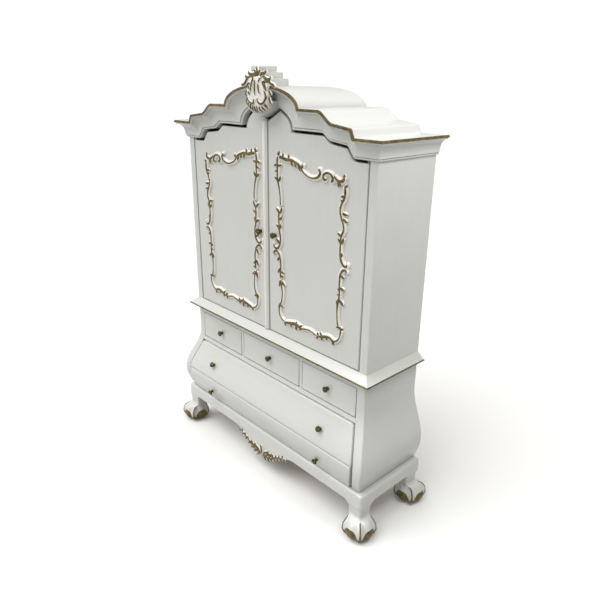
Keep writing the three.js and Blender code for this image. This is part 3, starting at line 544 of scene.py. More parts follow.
def round_the_case(outs, heights, lines=None):
    """Rings of a moulding that runs along the left side, the front and the right side of the
    upper case, mitred at the corners. outs (m) is how far each point of the profile stands
    out and heights (m) its level on the sides; lines (n, m, 2) gives x and z at n places
    across the right half of the front, where the moulding isn't straight."""
    outs, heights = np.asarray(outs, float), np.asarray(heights, float)

    def ring(x, y, z):
        return np.stack(np.broadcast_arrays(x, y, z), -1)

    right = [ring(HALF + outs, -outs, heights), ring(HALF + outs, DEPTH, heights)]
    left = right
    if lines is not None:
        right = [ring(line[:, 0], -outs, line[:, 1]) for line in lines] + right
        left = right[1:]
    return np.stack([flipped(r) for r in left[::-1]] + right)


# ---- cornice and roof ----

ROOF_THICK = 12.0
LIP_ROUND = 4.0
ROOF_FALL = 10.0  # how much lower the arch is at the back
ROOF_ARCH = 98.0  # rise over which that fall grows from nothing to its full amount
FRIEZE_THICK = 22.0
# The pointed bracket that the cornice drops between the arches of the two doors.
PEAK_TIP, PEAK_SPRING, PEAK_HALF, PEAK_ROUND = LIP_Z + 48, LIP_Z + 99, 92.0, 6.0


def cornice_profile():
    """How far the moulding stands out, against its share of the height: a bead, a fillet, a
    quarter-ellipse hollow and a fillet under the lip."""
    s = np.linspace(0, 1, 9)
    bead = np.stack([8 + 4.5 * np.sin(math.pi * s), 0.14 * s], 1)
    fillet = np.array([[15.5, 0.15], [16, 0.24]])
    a = np.linspace(0, math.pi / 2, 15)
    hollow = np.stack([16 + 33 * (1 - np.cos(a)), 0.245 + 0.66 * np.sin(a)], 1)
    top = np.array([[52, 0.915], [54, 0.93], [54.5, 0.96], [55, 1.0]])
    return np.concatenate([bead, fillet, hollow[:-1], top])


def cornice_shell():
    """The front moulding follows the arch between the frieze's line and the underside of the
    lip: each of its points is that share of the way from one line to the other."""
    profile = cornice_profile()
    outs, share = profile[:, 0], profile[:, 1]
    low, high = half_line(FRIEZE_LINE), half_line(LIP_LINE, ROOF_THICK)
    flat_low, flat_high = LIP_Z + FRIEZE_LINE["flat"], LIP_Z - ROOF_THICK
    ends = HALF - SIDE_THICK - 1, HALF - SIDE_THICK, HALF
    low = np.concatenate([low, [[x, flat_low] for x in ends]])
    high = np.concatenate([high, [[x, flat_high] for x in ends]])
    faces = low[:, None] + (high - low)[:, None] * share[None, :, None]
    # Behind the face: down the back of the frieze board, which stops short of the sides.
    lines = np.concatenate([faces, high[:, None], low[:, None]], 1)
    heights = np.concatenate([flat_low + (flat_high - flat_low) * share, [flat_high, flat_low]])
    rings = round_the_case(np.concatenate([outs, [-GAP, -GAP]]), heights, lines)
    board = np.abs(rings[:, -1, 0]) < HALF - SIDE_THICK - 0.5
    rings[board, -2:, 1] = FRIEZE_THICK
    return shell(rings)


def roof_shell():
    """A slab whose section from front to back has a rounded nose, carried across the width on
    the lip's line, with both ends rounded by shrinking the section. Its arch falls evenly
    towards the back."""
    top, under = half_line(LIP_LINE), half_line(LIP_LINE, ROOF_THICK)
    last = HALF + LIP_OUT
    turn = np.linspace(0, math.pi / 2, 5)[1:]
    ends = [HALF - 60.0, HALF, last - LIP_ROUND, *(last - LIP_ROUND + LIP_ROUND * np.sin(turn))]
    pinch = np.concatenate([[0.0, 0.0, 0.0], LIP_ROUND * (1 - np.cos(turn)) * 0.9])
    top = np.concatenate([top, np.stack([ends, LIP_Z - pinch], 1)])
    under = np.concatenate([under, [[x, LIP_Z - ROOF_THICK] for x in ends]])
    pinch = np.concatenate([np.zeros(len(top) - len(ends)), pinch])
    near, fall = quarter(LIP_ROUND)
    front, back = -LIP_OUT, DEPTH
    nose = front + pinch[:, None] + np.concatenate([[0], fall])
    rest = [front + LIP_ROUND + 3, back - LIP_ROUND - 3, *(back - near), back]
    y = np.hstack([nose, np.tile(rest, (len(top), 1))])
    depth = np.concatenate([[1.0], near / ROOF_THICK, [0, 0], fall / ROOF_THICK, [1.0]])
    section = top[:, None] - (top - under)[:, None] * depth[:, None]
    share = np.clip((section[..., 1] - LIP_Z - LIP_LINE["shoulder"]) / ROOF_ARCH, 0, 1)
    z = section[..., 1] - ROOF_FALL * share * (y - front) / (back - front)
    rings = np.stack([section[..., 0], y, z], -1)
    return shell(np.concatenate([flipped(rings[:0:-1]), rings]))


def lip_gilding_shell(proud, height):
    """A thin band on the lip's nose: it stands proud of the face and runs down it by height."""
    outs = LIP_OUT + np.array([-5, -2.5, 0.1, 0.8 * proud, proud, 0.8 * proud, 0.1, -5])
    inward = np.array([-0.5, -0.6, 0.6, 2.4, height / 2, height - 1, height, height])
    lines = np.stack([half_line(LIP_LINE, d) for d in inward], 1)
    flat = np.stack([np.full(len(inward), HALF - 40.0), LIP_Z - inward], 1)
    return shell(round_the_case(outs, LIP_Z - inward, np.concatenate([lines, [flat]])))


class ARMOIRE_OT_cornice(bpy.types.Operator):
    """Moulded cornice, roof slab, bracket over the doors and the gilded lip"""

    bl_idname = "armoire.cornice"
    bl_label = "Cornice and roof"

    def execute(self, context):
        sizes = context.scene.armoire_sizes
        white = finish(oil_paint, "X")
        # The bracket's lower edge is a hyperbola: straight to both sides of a rounded tip.
        s = np.linspace(-1, 1, 33)
        z = PEAK_TIP + (PEAK_SPRING - PEAK_TIP) * (np.sqrt(s**2 + 0.004) / 1.002)
        upper = [[PEAK_HALF, PEAK_SPRING + 30], [-PEAK_HALF, PEAK_SPRING + 30]]
        bracket = np.concatenate([np.stack([s * PEAK_HALF, z], 1), upper])
        piece(
            "cornice",
            [cornice_shell(), plate(bracket, -LIP_OUT, FRIEZE_THICK, PEAK_ROUND)],
            white, stands_for=("cornice_front", "cornice_left", "cornice_right"),
        )
        piece("roof", [roof_shell()], white, stands_for=("roof_shell",))
        piece(
            "lip_gilding",
            [lip_gilding_shell(1.3, sizes.lip_gilding / MM)],
            finish(antique_gold_paint),
        )
        return {"FINISHED"}


# ---- upper case ----


class ARMOIRE_OT_case(bpy.types.Operator):
    """Side boards of the upper case with their front stiles"""

    bl_idname = "armoire.case"
    bl_label = "Upper case"

    def execute(self, context):
        stile, deep = 46.0, 24.0
        foot, top = WAIST_TOP + GAP, CORNICE_FOOT - GAP
        outer = [(HALF, 0.0, 3.0), (HALF, DEPTH, 2.0), (HALF - SIDE_THICK, DEPTH, 1.0)]
        inner = [
            (HALF - SIDE_THICK, deep, 1.0), (HALF - stile, deep, 1.5), (HALF - stile, 0.0, 1.5)
        ]
        lower = upright(rounded_corners(outer + inner), foot, top)
        board = rounded_corners(outer + [(HALF - SIDE_THICK, 0.0, 1.0)])
        upper = upright(board, top, LIP_Z - ROOF_THICK - GAP)
        right = [shell(lower), shell(upper)]
        for side, shells in (("right", right), ("left", [mirrored(s) for s in right])):
            piece(
                f"case_side_{side}", shells, finish(oil_paint, "Z"),
                stands_for=(f"upper_side_{side}",),
            )
        return {"FINISHED"}


def rounded_corners(corners, steps=4):
    """A closed outline whose corners (x, y, radius) are rounded: each corner becomes an arc of
    a parabola between the points one radius along its two edges."""
    corners = np.asarray(corners, float)
    point, radius = corners[:, :2], corners[:, 2:]
    back = np.roll(point, 1, axis=0) - point
    ahead = np.roll(point, -1, axis=0) - point
    start = point + radius * back / np.linalg.norm(back, axis=1, keepdims=True)
    end = point + radius * ahead / np.linalg.norm(ahead, axis=1, keepdims=True)
    t = np.linspace(0, 1, steps + 1)[None, :, None]
    arc = (1 - t) ** 2 * start[:, None] + 2 * t * (1 - t) * point[:, None] + t**2 * end[:, None]
    return arc.reshape(-1, 2)


def upright(section, foot, top):
    """Rings of a section in x and y that stands from foot to top."""
    levels = np.array([foot, foot + 1, top - 1, top])
    rings = np.zeros((len(levels), len(section), 3))
    rings[:, :, :2] = section[None]
    rings[:, :, 2] = levels[:, None]
    return rings


# ---- waist moulding ----

LIP_LEVEL = 18.0  # top of the waist's thin lip above the chest
WAIST_REACH = 43.0
WAIST_NOSE = 4.0  # radius of the lip's rounded nose
WAIST_BACK = -24.0


def waist_profile():
    """A hollow under a thin lip, then a long slope that flattens and ends in a small upstand
    against the case."""
    chest = WAIST_FOOT - GAP
    lip = chest + LIP_LEVEL
    a = np.linspace(0, math.pi / 2, 7)
    hollow = np.stack([4 + 30 * (1 - np.cos(a)), chest + 1 + 8 * np.sin(a)], 1)
    nose = WAIST_REACH - WAIST_NOSE
    a = np.linspace(-math.pi / 2, math.pi / 2, 9)
    rounded = [nose, lip - WAIST_NOSE] + WAIST_NOSE * np.stack([np.cos(a), np.sin(a)], 1)
    t = np.linspace(0, 1, 13)[1:]
    slope = np.stack([nose - (nose - 4) * t, lip + (WAIST_TOP - 4 - lip) * t**1.15], 1)
    foot = [[WAIST_BACK, chest + GAP], [4, chest + GAP]]
    upstand = [[2.5, WAIST_TOP - 1.5], [0.5, WAIST_TOP], [WAIST_BACK, WAIST_TOP]]
    return np.concatenate([foot, hollow, rounded, slope, upstand])


class ARMOIRE_OT_waist(bpy.types.Operator):
    """Sloping waist moulding between chest and upper case, with its gilded lip"""

    bl_idname = "armoire.waist"
    bl_label = "Waist moulding"

    def execute(self, context):
        sizes = context.scene.armoire_sizes
        profile = waist_profile()
        piece(
            "waist",
            [shell(round_the_case(profile[:, 0], profile[:, 1]))],
            finish(oil_paint, "X"),
            stands_for=("waist_front", "waist_left", "waist_right"),
        )
        middle = WAIST_FOOT - GAP + LIP_LEVEL - WAIST_NOSE
        half = sizes.waist_gilding / MM / 2
        turn = np.linspace(-1, 1, 7)
        outs = np.concatenate([WAIST_REACH - 2.6 + 4.2 * np.cos(turn * math.pi / 2), [38, 38]])
        heights = np.concatenate([middle + half * turn, [middle + half, middle - half]])
        piece(
            "waist_gilding",
            [shell(round_the_case(outs, heights))],
            finish(antique_gold_paint),
        )
        return {"FINISHED"}


# ---- chest ----

BELLY_SIDE, BELLY_FRONT = 70.0, 88.0
FOOT_SIDE, FOOT_FRONT = 38.0, 50.0
SWELL_DROP = 159.0
BELLY_RISE = 130.0
STILE = 54.0
CHEST_SIDE = 24.0


def swell(z, belly, foot):
    """Half a cosine from the straight top down to the belly, then a quarter cosine in to the
    foot."""
    start, fullest = CHEST_TOP - SWELL_DROP, CHEST_FOOT + BELLY_RISE
    down = np.clip((start - z) / (start - fullest), 0, 1)
    under = np.clip((fullest - z) / (fullest - CHEST_FOOT), 0, 1)
    upper = belly * (1 - np.cos(math.pi * down)) / 2
    return upper + (foot - belly) * (1 - np.cos(math.pi / 2 * under))


def side_x(z):
    """Outer face of the chest's right side at a height."""
    return HALF + swell(z, BELLY_SIDE, FOOT_SIDE)


def front_y(z):
    """Front face of the chest at a height."""
    return -swell(z, BELLY_FRONT, FOOT_FRONT)


class ARMOIRE_OT_chest(bpy.types.Operator):
    """Swelling sides of the chest with their front stiles"""

    bl_idname = "armoire.chest"
    bl_label = "Chest sides"

    def execute(self, context):
        edge = context.scene.armoire_sizes.edge_round / MM
        rings = []
        for z in np.linspace(CHEST_FOOT, CHEST_TOP, 90):
            outer, front = side_x(z), front_y(z)
            section = rounded_corners(
                [
                    (outer, front, edge * 1.6), (outer, DEPTH, 2.0),
                    (outer - CHEST_SIDE, DEPTH, 1.0),
                    (outer - CHEST_SIDE, front + CHEST_SIDE, 1.0),
                    (outer - STILE, front + CHEST_SIDE, 1.0), (outer - STILE, front, 2.0),
                ]
            )
            rings.append(np.column_stack([section, np.full(len(section), z)]))
        right = shell(rings)
        for side, made in (("right", right), ("left", mirrored(right))):
            piece(
                f"chest_side_{side}_painted", [made],
                finish(oil_paint, "Z"), stands_for=(f"chest_side_{side}",),
            )
        return {"FINISHED"}


# ---- drawers ----

SMALL_PROUD, LONG_PROUD = 2.0, 8.0  # how far the fronts stand out of the chest's swelling
SMALL_ROUND, SMALL_SLACK = 4.0, 1.5
STILE_BEAD = 4.0


def eased(low, high, radius, steps=5, middle=2):
    """Levels from low to high, close together where an edge of that radius is rounded."""
    near = quarter(radius, steps)[1]
    flat = np.linspace(low + radius, high - radius, middle + 2)[1:-1]
    return np.concatenate([low + near, flat, high - near[::-1]])


def edge_fall(distance, radius):
    """How far a face falls back at a distance from its edge: a quarter circle."""
    lack = np.clip(1 - distance / radius, 0, 1)
    return radius * (1 - np.sqrt(1 - lack**2))


def drawer_front_shell(half_at, middle, low, high, proud, back, radius):
    """A front between two heights whose face follows the chest's swelling: at each level the
    ring goes along the back and round the face, which falls back by a quarter circle at all
    four edges. half_at gives its half width at a height."""
    rings = []
    levels = np.concatenate([eased(low, high, radius, middle=28), eased(low, high, 18)])
    for z in np.unique(levels):
        half = half_at(z)
        x = eased(-half, half, radius)
        near = np.minimum(half - np.abs(x), min(z - low, high - z))
        y = front_y(z) - proud + edge_fall(near, radius)
        ring_x = np.concatenate([[-half, half], x[::-1]])
        ring_y = np.concatenate([[back, back], y])
        rings.append(np.column_stack([middle + ring_x, ring_y, np.full(len(ring_x), z)]))
    return shell(rings)


def long_half(z, slack, top, corner):
    """Half width of a long drawer's front at a height: the chest's swelling side less its
    stile, with top corners rounded by a quarter circle."""
    lack = np.clip(1 - (top - z) / corner, 0, 1) if corner else 0.0
    return side_x(z) - STILE - STILE_BEAD - slack - corner * (1 - math.sqrt(1 - lack**2))


class ARMOIRE_OT_drawers(bpy.types.Operator):
    """Fronts of the three small and the two long drawers"""

    bl_idname = "armoire.drawers"
    bl_label = "Drawer fronts"

    def execute(self, context):
        radius = context.scene.armoire_sizes.edge_round / MM
        white = finish(oil_paint, "X")
        for place in ("left", "middle", "right"):
            low, high = span(f"drawer_small_{place}_front")
            half, middle = (high[0] - low[0]) / 2 - SMALL_SLACK, (high[0] + low[0]) / 2
            front = drawer_front_shell(
                lambda z: half, middle, low[2] + 1, high[2] - SMALL_SLACK, SMALL_PROUD, high[1],
                SMALL_ROUND,
            )
            piece(
                f"small_front_{place}", [front], white,
                f"drawer_small_{place}", (f"drawer_small_{place}_front",),
            )
        for place, slack, lowered, corner in (("upper", 5.0, 2.5, 18.0), ("lower", 8.5, 0.0, 0.0)):
            low, high = span(f"drawer_{place}_front")
            top = high[2] - lowered
            front = drawer_front_shell(
                lambda z: long_half(z, slack, top, corner), 0.0, low[2], top, LONG_PROUD, high[1],
                radius,
            )
            piece(
                f"long_front_{place}", [front], white,
                f"drawer_{place}", (f"drawer_{place}_front",),
            )
        return {"FINISHED"}


# ---- knobs ----

KNOBS = {
    "door_left_knob": "door_left", "door_right_knob": "door_right",
    "knob_small_left": "drawer_small_left", "knob_small_middle": "drawer_small_middle",
    "knob_small_right": "drawer_small_right", "knob_upper_left": "drawer_upper",
    "knob_upper_right": "drawer_upper", "knob_lower_left": "drawer_lower",
    "knob_lower_right": "drawer_lower",
}
KNOB_REACH = 34.0
KNOB_SHORT = 0.88  # the brass knob's share of that reach
KNOB_LOBES = 8
SLOPE_SPAN = 22.0  # height over which a front's lean is measured


def knob_shell(seat, tilt):
    """A turned profile whose head has lobes: the radius at each reach is multiplied by one
    plus a small cosine of eight times the angle. It stands square on a front that leans by
    tilt."""
    reach = np.array([0, 1.5, 3, 5, 8, 11, 14, 17, 20, 23, 26, 29.5, 32.4, 33.6, 34])
    radius = np.array([11, 11.2, 10.6, 8.6, 7.4, 7.6, 10, 13.2, 14.8, 15, 14.6, 12.2, 8, 3.6, 0.6])
    at = np.linspace(0, KNOB_REACH, 40)
    r = np.maximum(through(reach, radius, at), 0.4)
    head = np.clip((at - 15) / 6, 0, 1)
    angle = np.linspace(0, 2 * math.pi, 49)[:-1]
    r = r[:, None] * (1 + 0.085 * head[:, None] * np.cos(KNOB_LOBES * angle)[None])
    dent = 1.4 * np.exp(-(((at - 30.5) / 2) ** 2))[:, None] * np.cos(KNOB_LOBES * angle)[None]
    out = KNOB_SHORT * (at[:, None] + np.minimum(dent, 0))
    r = r * (1 + 0.06 * head[:, None])
    x = r * np.cos(angle)
    up = r * np.sin(angle)
    y = -out * math.cos(tilt) + up * math.sin(tilt)
    z = out * math.sin(tilt) + up * math.cos(tilt)
    return shell(np.stack([x, y, z], -1) + seat)


def knob_tip(node):
    """Middle of a CAD knob's foremost points."""
    mesh = NODES[node].data
    points = np.zeros(len(mesh.vertices) * 3)
    mesh.vertices.foreach_get("co", points)
    points = in_millimetres(points.reshape(-1, 3))
    return points[points[:, 1] < points[:, 1].min() + 0.4].mean(0)


class ARMOIRE_OT_knobs(bpy.types.Operator):
    """Nine lobed brass knobs"""

    bl_idname = "armoire.knobs"
    bl_label = "Knobs"

    def execute(self, context):
        for node, body in KNOBS.items():
            x, _, z = sum(span(node)) / 2
            tilt = 0.0
            if body in ("drawer_upper", "drawer_lower"):
                rise = front_y(z + SLOPE_SPAN / 2) - front_y(z - SLOPE_SPAN / 2)
                tilt = math.atan2(rise, SLOPE_SPAN)
            seat = knob_tip(node) + KNOB_REACH * np.array([0.0, math.cos(tilt), -math.sin(tilt)])
            seat[0] = x
            piece(
                f"{node}_brass", [knob_shell(seat, tilt)],
                finish(patinated_brass), body, (node,),
            )
        return {"FINISHED"}


# ---- base and feet ----

BASE_ROUND = 16.0
RAIL_DEPTH = 58.0
TOP_ROUND = 14.0
APRON_DROP, APRON_HALF = 104.0, 280.0
BAND = 70.0  # height of the base's straight band
LEG = 96.0
BRACKET = 17.0  # radius of the small brackets beside the legs


def lower_edge(distance_to_leg, x=None):
    """Underside of the base: straight, with a small quarter-circle bracket where it meets a
    leg, and on the front a cosine drop round the centre."""
    z = np.full(np.shape(distance_to_leg), BASE_TOP - BAND)
    lack = np.clip(1 - np.asarray(distance_to_leg) / BRACKET, 0, 1)
    z = z - BRACKET * (1 - np.sqrt(1 - lack**2)) * 0.8
    if x is not None:
        t = np.clip(np.abs(x) / APRON_HALF, 0, 1)
        z = z - APRON_DROP * (1 + np.cos(math.pi * t)) / 2
    return z


def base_frame_shell():
    """The base's band along the left side, the front and the right side. Its section is a
    board with a quarter-round top edge; at the corners the section turns about a vertical
    line, and the underside follows lower_edge."""
    a = np.linspace(0, math.pi / 2, 6)
    outs = np.concatenate([[-RAIL_DEPTH, -2, 0], TOP_ROUND * (np.cos(a) - 1), [-RAIL_DEPTH]])
    rise = np.concatenate([[0, 0, 2], BASE_TOP - TOP_ROUND + TOP_ROUND * np.sin(a), [BASE_TOP]])
    leg_x = BASE_X - LEG
    x = np.concatenate(
        [np.linspace(0, APRON_HALF, 60), [APRON_HALF + 60], leg_x - np.linspace(BRACKET, 0, 10),
         [leg_x + 1, BASE_X - BASE_ROUND]]
    )
    rings = []

    def ring(px, py, edge):
        z = np.where(np.arange(len(outs)) < 3, edge + rise, rise)
        return np.stack(np.broadcast_arrays(px, py, z), -1)

    inner = outs < 1 - RAIL_DEPTH
    for place in x:
        px = np.where(inner, min(place, BASE_X - RAIL_DEPTH), place)
        rings.append(ring(px, BASE_Y - outs, lower_edge(max(leg_x - place, 0), place)))
    centre = np.array([BASE_X - BASE_ROUND, BASE_Y + BASE_ROUND])
    foot = lower_edge(0.0)
    for turn in np.linspace(-math.pi / 2, 0, 9)[1:-1]:
        near = outs >= -BASE_ROUND
        reach = np.maximum(BASE_ROUND + outs, 0)
        px = np.where(near, centre[0] + reach * math.cos(turn), BASE_X + outs)
        py = np.where(near, centre[1] + reach * math.sin(turn), BASE_Y - outs)
        rings.append(ring(px, py, foot))
    first, last = BASE_Y + LEG, DEPTH - LEG
    y = np.concatenate(
        [[BASE_Y + BASE_ROUND, first - 1], first + np.linspace(0, BRACKET, 10),
         [(first + last) / 2], last - np.linspace(BRACKET, 0, 10), [last + 1, DEPTH - 6, DEPTH]]
    )
    for place in y:
        edge = lower_edge(max(min(place - first, last - place), 0))
        py = np.where(inner, max(place, BASE_Y + RAIL_DEPTH), place)
        rings.append(ring(BASE_X + outs, py, edge))
    rings = np.stack(rings)
    return shell(np.concatenate([flipped(rings[:0:-1]), rings]))


# Levels of a foot from the floor up through ball, ankle and leg, and at each one half the
# width of its section, the section's corner radius and its middle's inset from the outer corner.
FOOT_LEVELS = np.array([0, 7, 18, 34, 50, 68, 84, 96, 104, 110, 115, 120, 145, 175, 192, 206.0])
FOOT_HALF = np.array([36, 51, 65, 74.5, 78, 76, 70, 63, 56, 49, 43.5, 41.5, 41.5, 45, 47.4, 47.4])
FOOT_ROUND = np.array([36, 51, 65, 74.5, 78, 76, 70, 61, 49, 34, 20, 13, 12, 14, 15.4, 15.4])
FOOT_INSET = np.array([24, 24, 24, 24, 24, 24, 25, 27, 30, 35, 41, 44, 46, 48, 48, 48.0])
CLAW_LEVELS = np.array([0, 12, 28, 44, 60, 78, 96, 108, 116])
CLAW_PROUD = np.array([7, 9, 7.5, 10, 7.5, 10, 8, 4, 0])
CLAW_WIDTH = 0.16


def foot_point(angle, z):
    """Skin of a foot at a height and at an angle from the diagonal of its outer corner: a
    square whose corners are rounded until it is a circle, with a claw on each corner, which is
    a bell-shaped ridge with a shallow groove on both sides. Points are measured outwards from
    the leg's outer corner, to the side and to the front or back."""
    half = through(FOOT_LEVELS, FOOT_HALF, z)
    corner = np.minimum(through(FOOT_LEVELS, FOOT_ROUND, z), half)
    centre = through(FOOT_LEVELS, FOOT_INSET, z)
    world = angle + math.pi / 4
    c, s = np.cos(world), np.sin(world)
    x = (half - corner) * np.sign(c) + corner * c
    y = (half - corner) * np.sign(s) + corner * s
    away = np.abs((angle + math.pi / 4) % (math.pi / 2) - math.pi / 4)
    proud = np.interp(z, CLAW_LEVELS, CLAW_PROUD)
    ridge = np.exp(-((away / CLAW_WIDTH) ** 2))
    groove = np.exp(-(((away - 2.3 * CLAW_WIDTH) / CLAW_WIDTH) ** 2))
    out = proud * (ridge - 0.42 * groove)
    return np.stack([x + out * c - centre, y + out * s - centre, z + 0 * c], -1)


def foot_shell(side, back):
    """The skin of one foot, placed at its corner of the base."""
    z = np.concatenate([np.linspace(0, 120, 61), np.linspace(124, 206, 18)])
    angle = (np.arange(128) + 0.5) / 128 * 2 * math.pi
    rings = foot_point(angle[None, :], z[:, None] + 0 * angle[None, :])
    return shell(place_foot(rings, side, back))


def place_foot(points, side, back):
    """Puts points that are measured outwards from the leg's outer corner in their place."""
    x = side * (BASE_X + points[..., 0])
    y = (DEPTH + points[..., 1]) if back else (BASE_Y - points[..., 1])
    return np.stack([x, y, points[..., 2]], -1)


def ball_patch(middle):
    """Gilded part of the ball between two claws: a half moon that reaches 78 mm above the
    floor, with a slight crown, closed by a second layer inside."""
    u = np.linspace(-1, 1, 33)[:, None]
    v = np.linspace(0, 1, 15)[None, :]
    top = 8 + 70 * (1 - np.abs(u) ** 3.4)
    z = 2 + v * (top - 2)
    angle = middle + 0.7 * u + 0 * v
    crown = 2.4 * (1 - u**8) * (1 - (2 * v - 1) ** 8) - 0.5
    outer = foot_point(angle, z)
    spread = np.stack([np.cos(angle + math.pi / 4), np.sin(angle + math.pi / 4), 0 * angle], -1)
    face, inner = outer + spread * crown[..., None], outer - spread * 3.0
    return np.concatenate([face, inner[:, ::-1]], 1)


def claw_line(middle):
    """Gilded line on a claw's crest that widens to a nail at its foot: a half-elliptical
    section carried down the crest."""
    t = np.linspace(0, 1, 40)
    z = 112 - 110 * t
    crest = foot_point(np.full(40, middle), z)
    width = 4.2 + 6.6 * np.exp(-(((t - 0.78) / 0.18) ** 2))
    width *= np.minimum(1, np.minimum(t / 0.06, (1 - t) / 0.05) ** 0.6 + 0.15)
    a = np.linspace(0, math.pi, 9)
    c, s = math.cos(middle + math.pi / 4), math.sin(middle + math.pi / 4)
    out, along = np.array([c, s, 0]), np.array([-s, c, 0])
    ring = (
        crest[:, None]
        + along * (width[:, None] * np.cos(a))[..., None]
        + out * ((1.4 + 0.35 * width[:, None]) * np.sin(a) - 0.3)[..., None]
    )
    inside = crest[:, None] + np.stack([-along, along]) * width[:, None, None] - out * 2.5
    return np.concatenate([ring, inside], 1)


class ARMOIRE_OT_base(bpy.types.Operator):
    """Shaped base band and four ball-and-claw feet with their gilding"""

    bl_idname = "armoire.base"
    bl_label = "Base and feet"

    def execute(self, context):
        piece(
            "base_band", [base_frame_shell()], finish(oil_paint, "X"),
            stands_for=("apron_front", "base_rail_left", "base_rail_right"),
        )
        for name, side, back in (
            ("front_left", -1, False), ("front_right", 1, False),
            ("back_left", -1, True), ("back_right", 1, True),
        ):
            piece(
                f"leg_{name}", [foot_shell(side, back)], finish(oil_paint, "Z"),
                stands_for=(f"foot_{name}",), crease=50,
            )
            gaps = [ball_patch(math.pi / 2 * (k + 0.5)) for k in range(4)]
            lines = [claw_line(math.pi / 2 * k) for k in range(4)]
            piece(
                f"leg_gilding_{name}",
                [shell(place_foot(r, side, back)) for r in gaps + lines],
                finish(antique_gold_paint),
            )
        return {"FINISHED"}


# ---- doors and their carving ----

DOOR_GAP = 14.0  # from the frieze's line to the door's edge
DOOR_SLACK = 3.5  # how much narrower the board is than its CAD slab


def stroke(points, width, height, ends=(0.12, 0.12), surface=None, spacing=3.0, flip=1, full=1.0):
    """A raised line on an upright surface: half an ellipse, width to each side and height
    high, carried along a smooth curve through points (x, z). Its sine and cosine are raised
    to the power full, so a smaller one squares the ellipse's shoulders. Both ends taper over
    their share of the length. surface gives y at x and z; flip = -1 mirrors it."""
    path = curve(points, spacing)
    path[:, 0] *= flip
    steps = np.linalg.norm(np.diff(path, axis=0), axis=1)
    s = np.concatenate([[0], np.cumsum(steps)])
    s /= s[-1]
    tangent = np.gradient(path, axis=0)
    tangent /= np.linalg.norm(tangent, axis=1, keepdims=True)
    normal = np.stack([-tangent[:, 1], tangent[:, 0]], 1)
    swellings = np.interp(s, np.linspace(0, 1, len(np.atleast_1d(width))), np.atleast_1d(width))
    taper = np.minimum(np.minimum(s / ends[0], (1 - s) / ends[1]), 1)
    taper = np.sqrt(np.clip(taper, 0.02, 1))
    half = swellings * taper
    a = np.linspace(0, math.pi, 9)
    squared = np.sign(np.cos(a)) * np.abs(np.cos(a)) ** full
    across = np.concatenate([squared, [-1, 1]])
    up = np.concatenate([np.clip(np.sin(a), 0, 1) ** full, [0, 0]])
    sink = np.concatenate([np.zeros(9), [1.5, 1.5]])
    xz = path[:, None] + normal[:, None] * (half[:, None] * across)[..., None]
    y = -(height * taper**0.5)[:, None] * up[None] + sink[None]
    if surface is not None:
        y = y + surface(xz[..., 0], xz[..., 1])
    return shell(np.stack([xz[..., 0], y, xz[..., 1]], -1))


def leaf(x, z, heading, length, width=4.0, bend=0.25):
    """Points and half widths of a pointed leaf that starts at x, z, heads that way in degrees
    and bends sideways by a share of its length."""
    h = math.radians(heading)
    along, side = np.array([math.cos(h), math.sin(h)]), np.array([-math.sin(h), math.cos(h)])
    t = np.linspace(0, 1, 5)[:, None]
    points = np.array([x, z]) + length * (along * t + side * bend * t**2)
    return points, width * np.array([0.6, 0.95, 1.0, 0.8, 0.4])


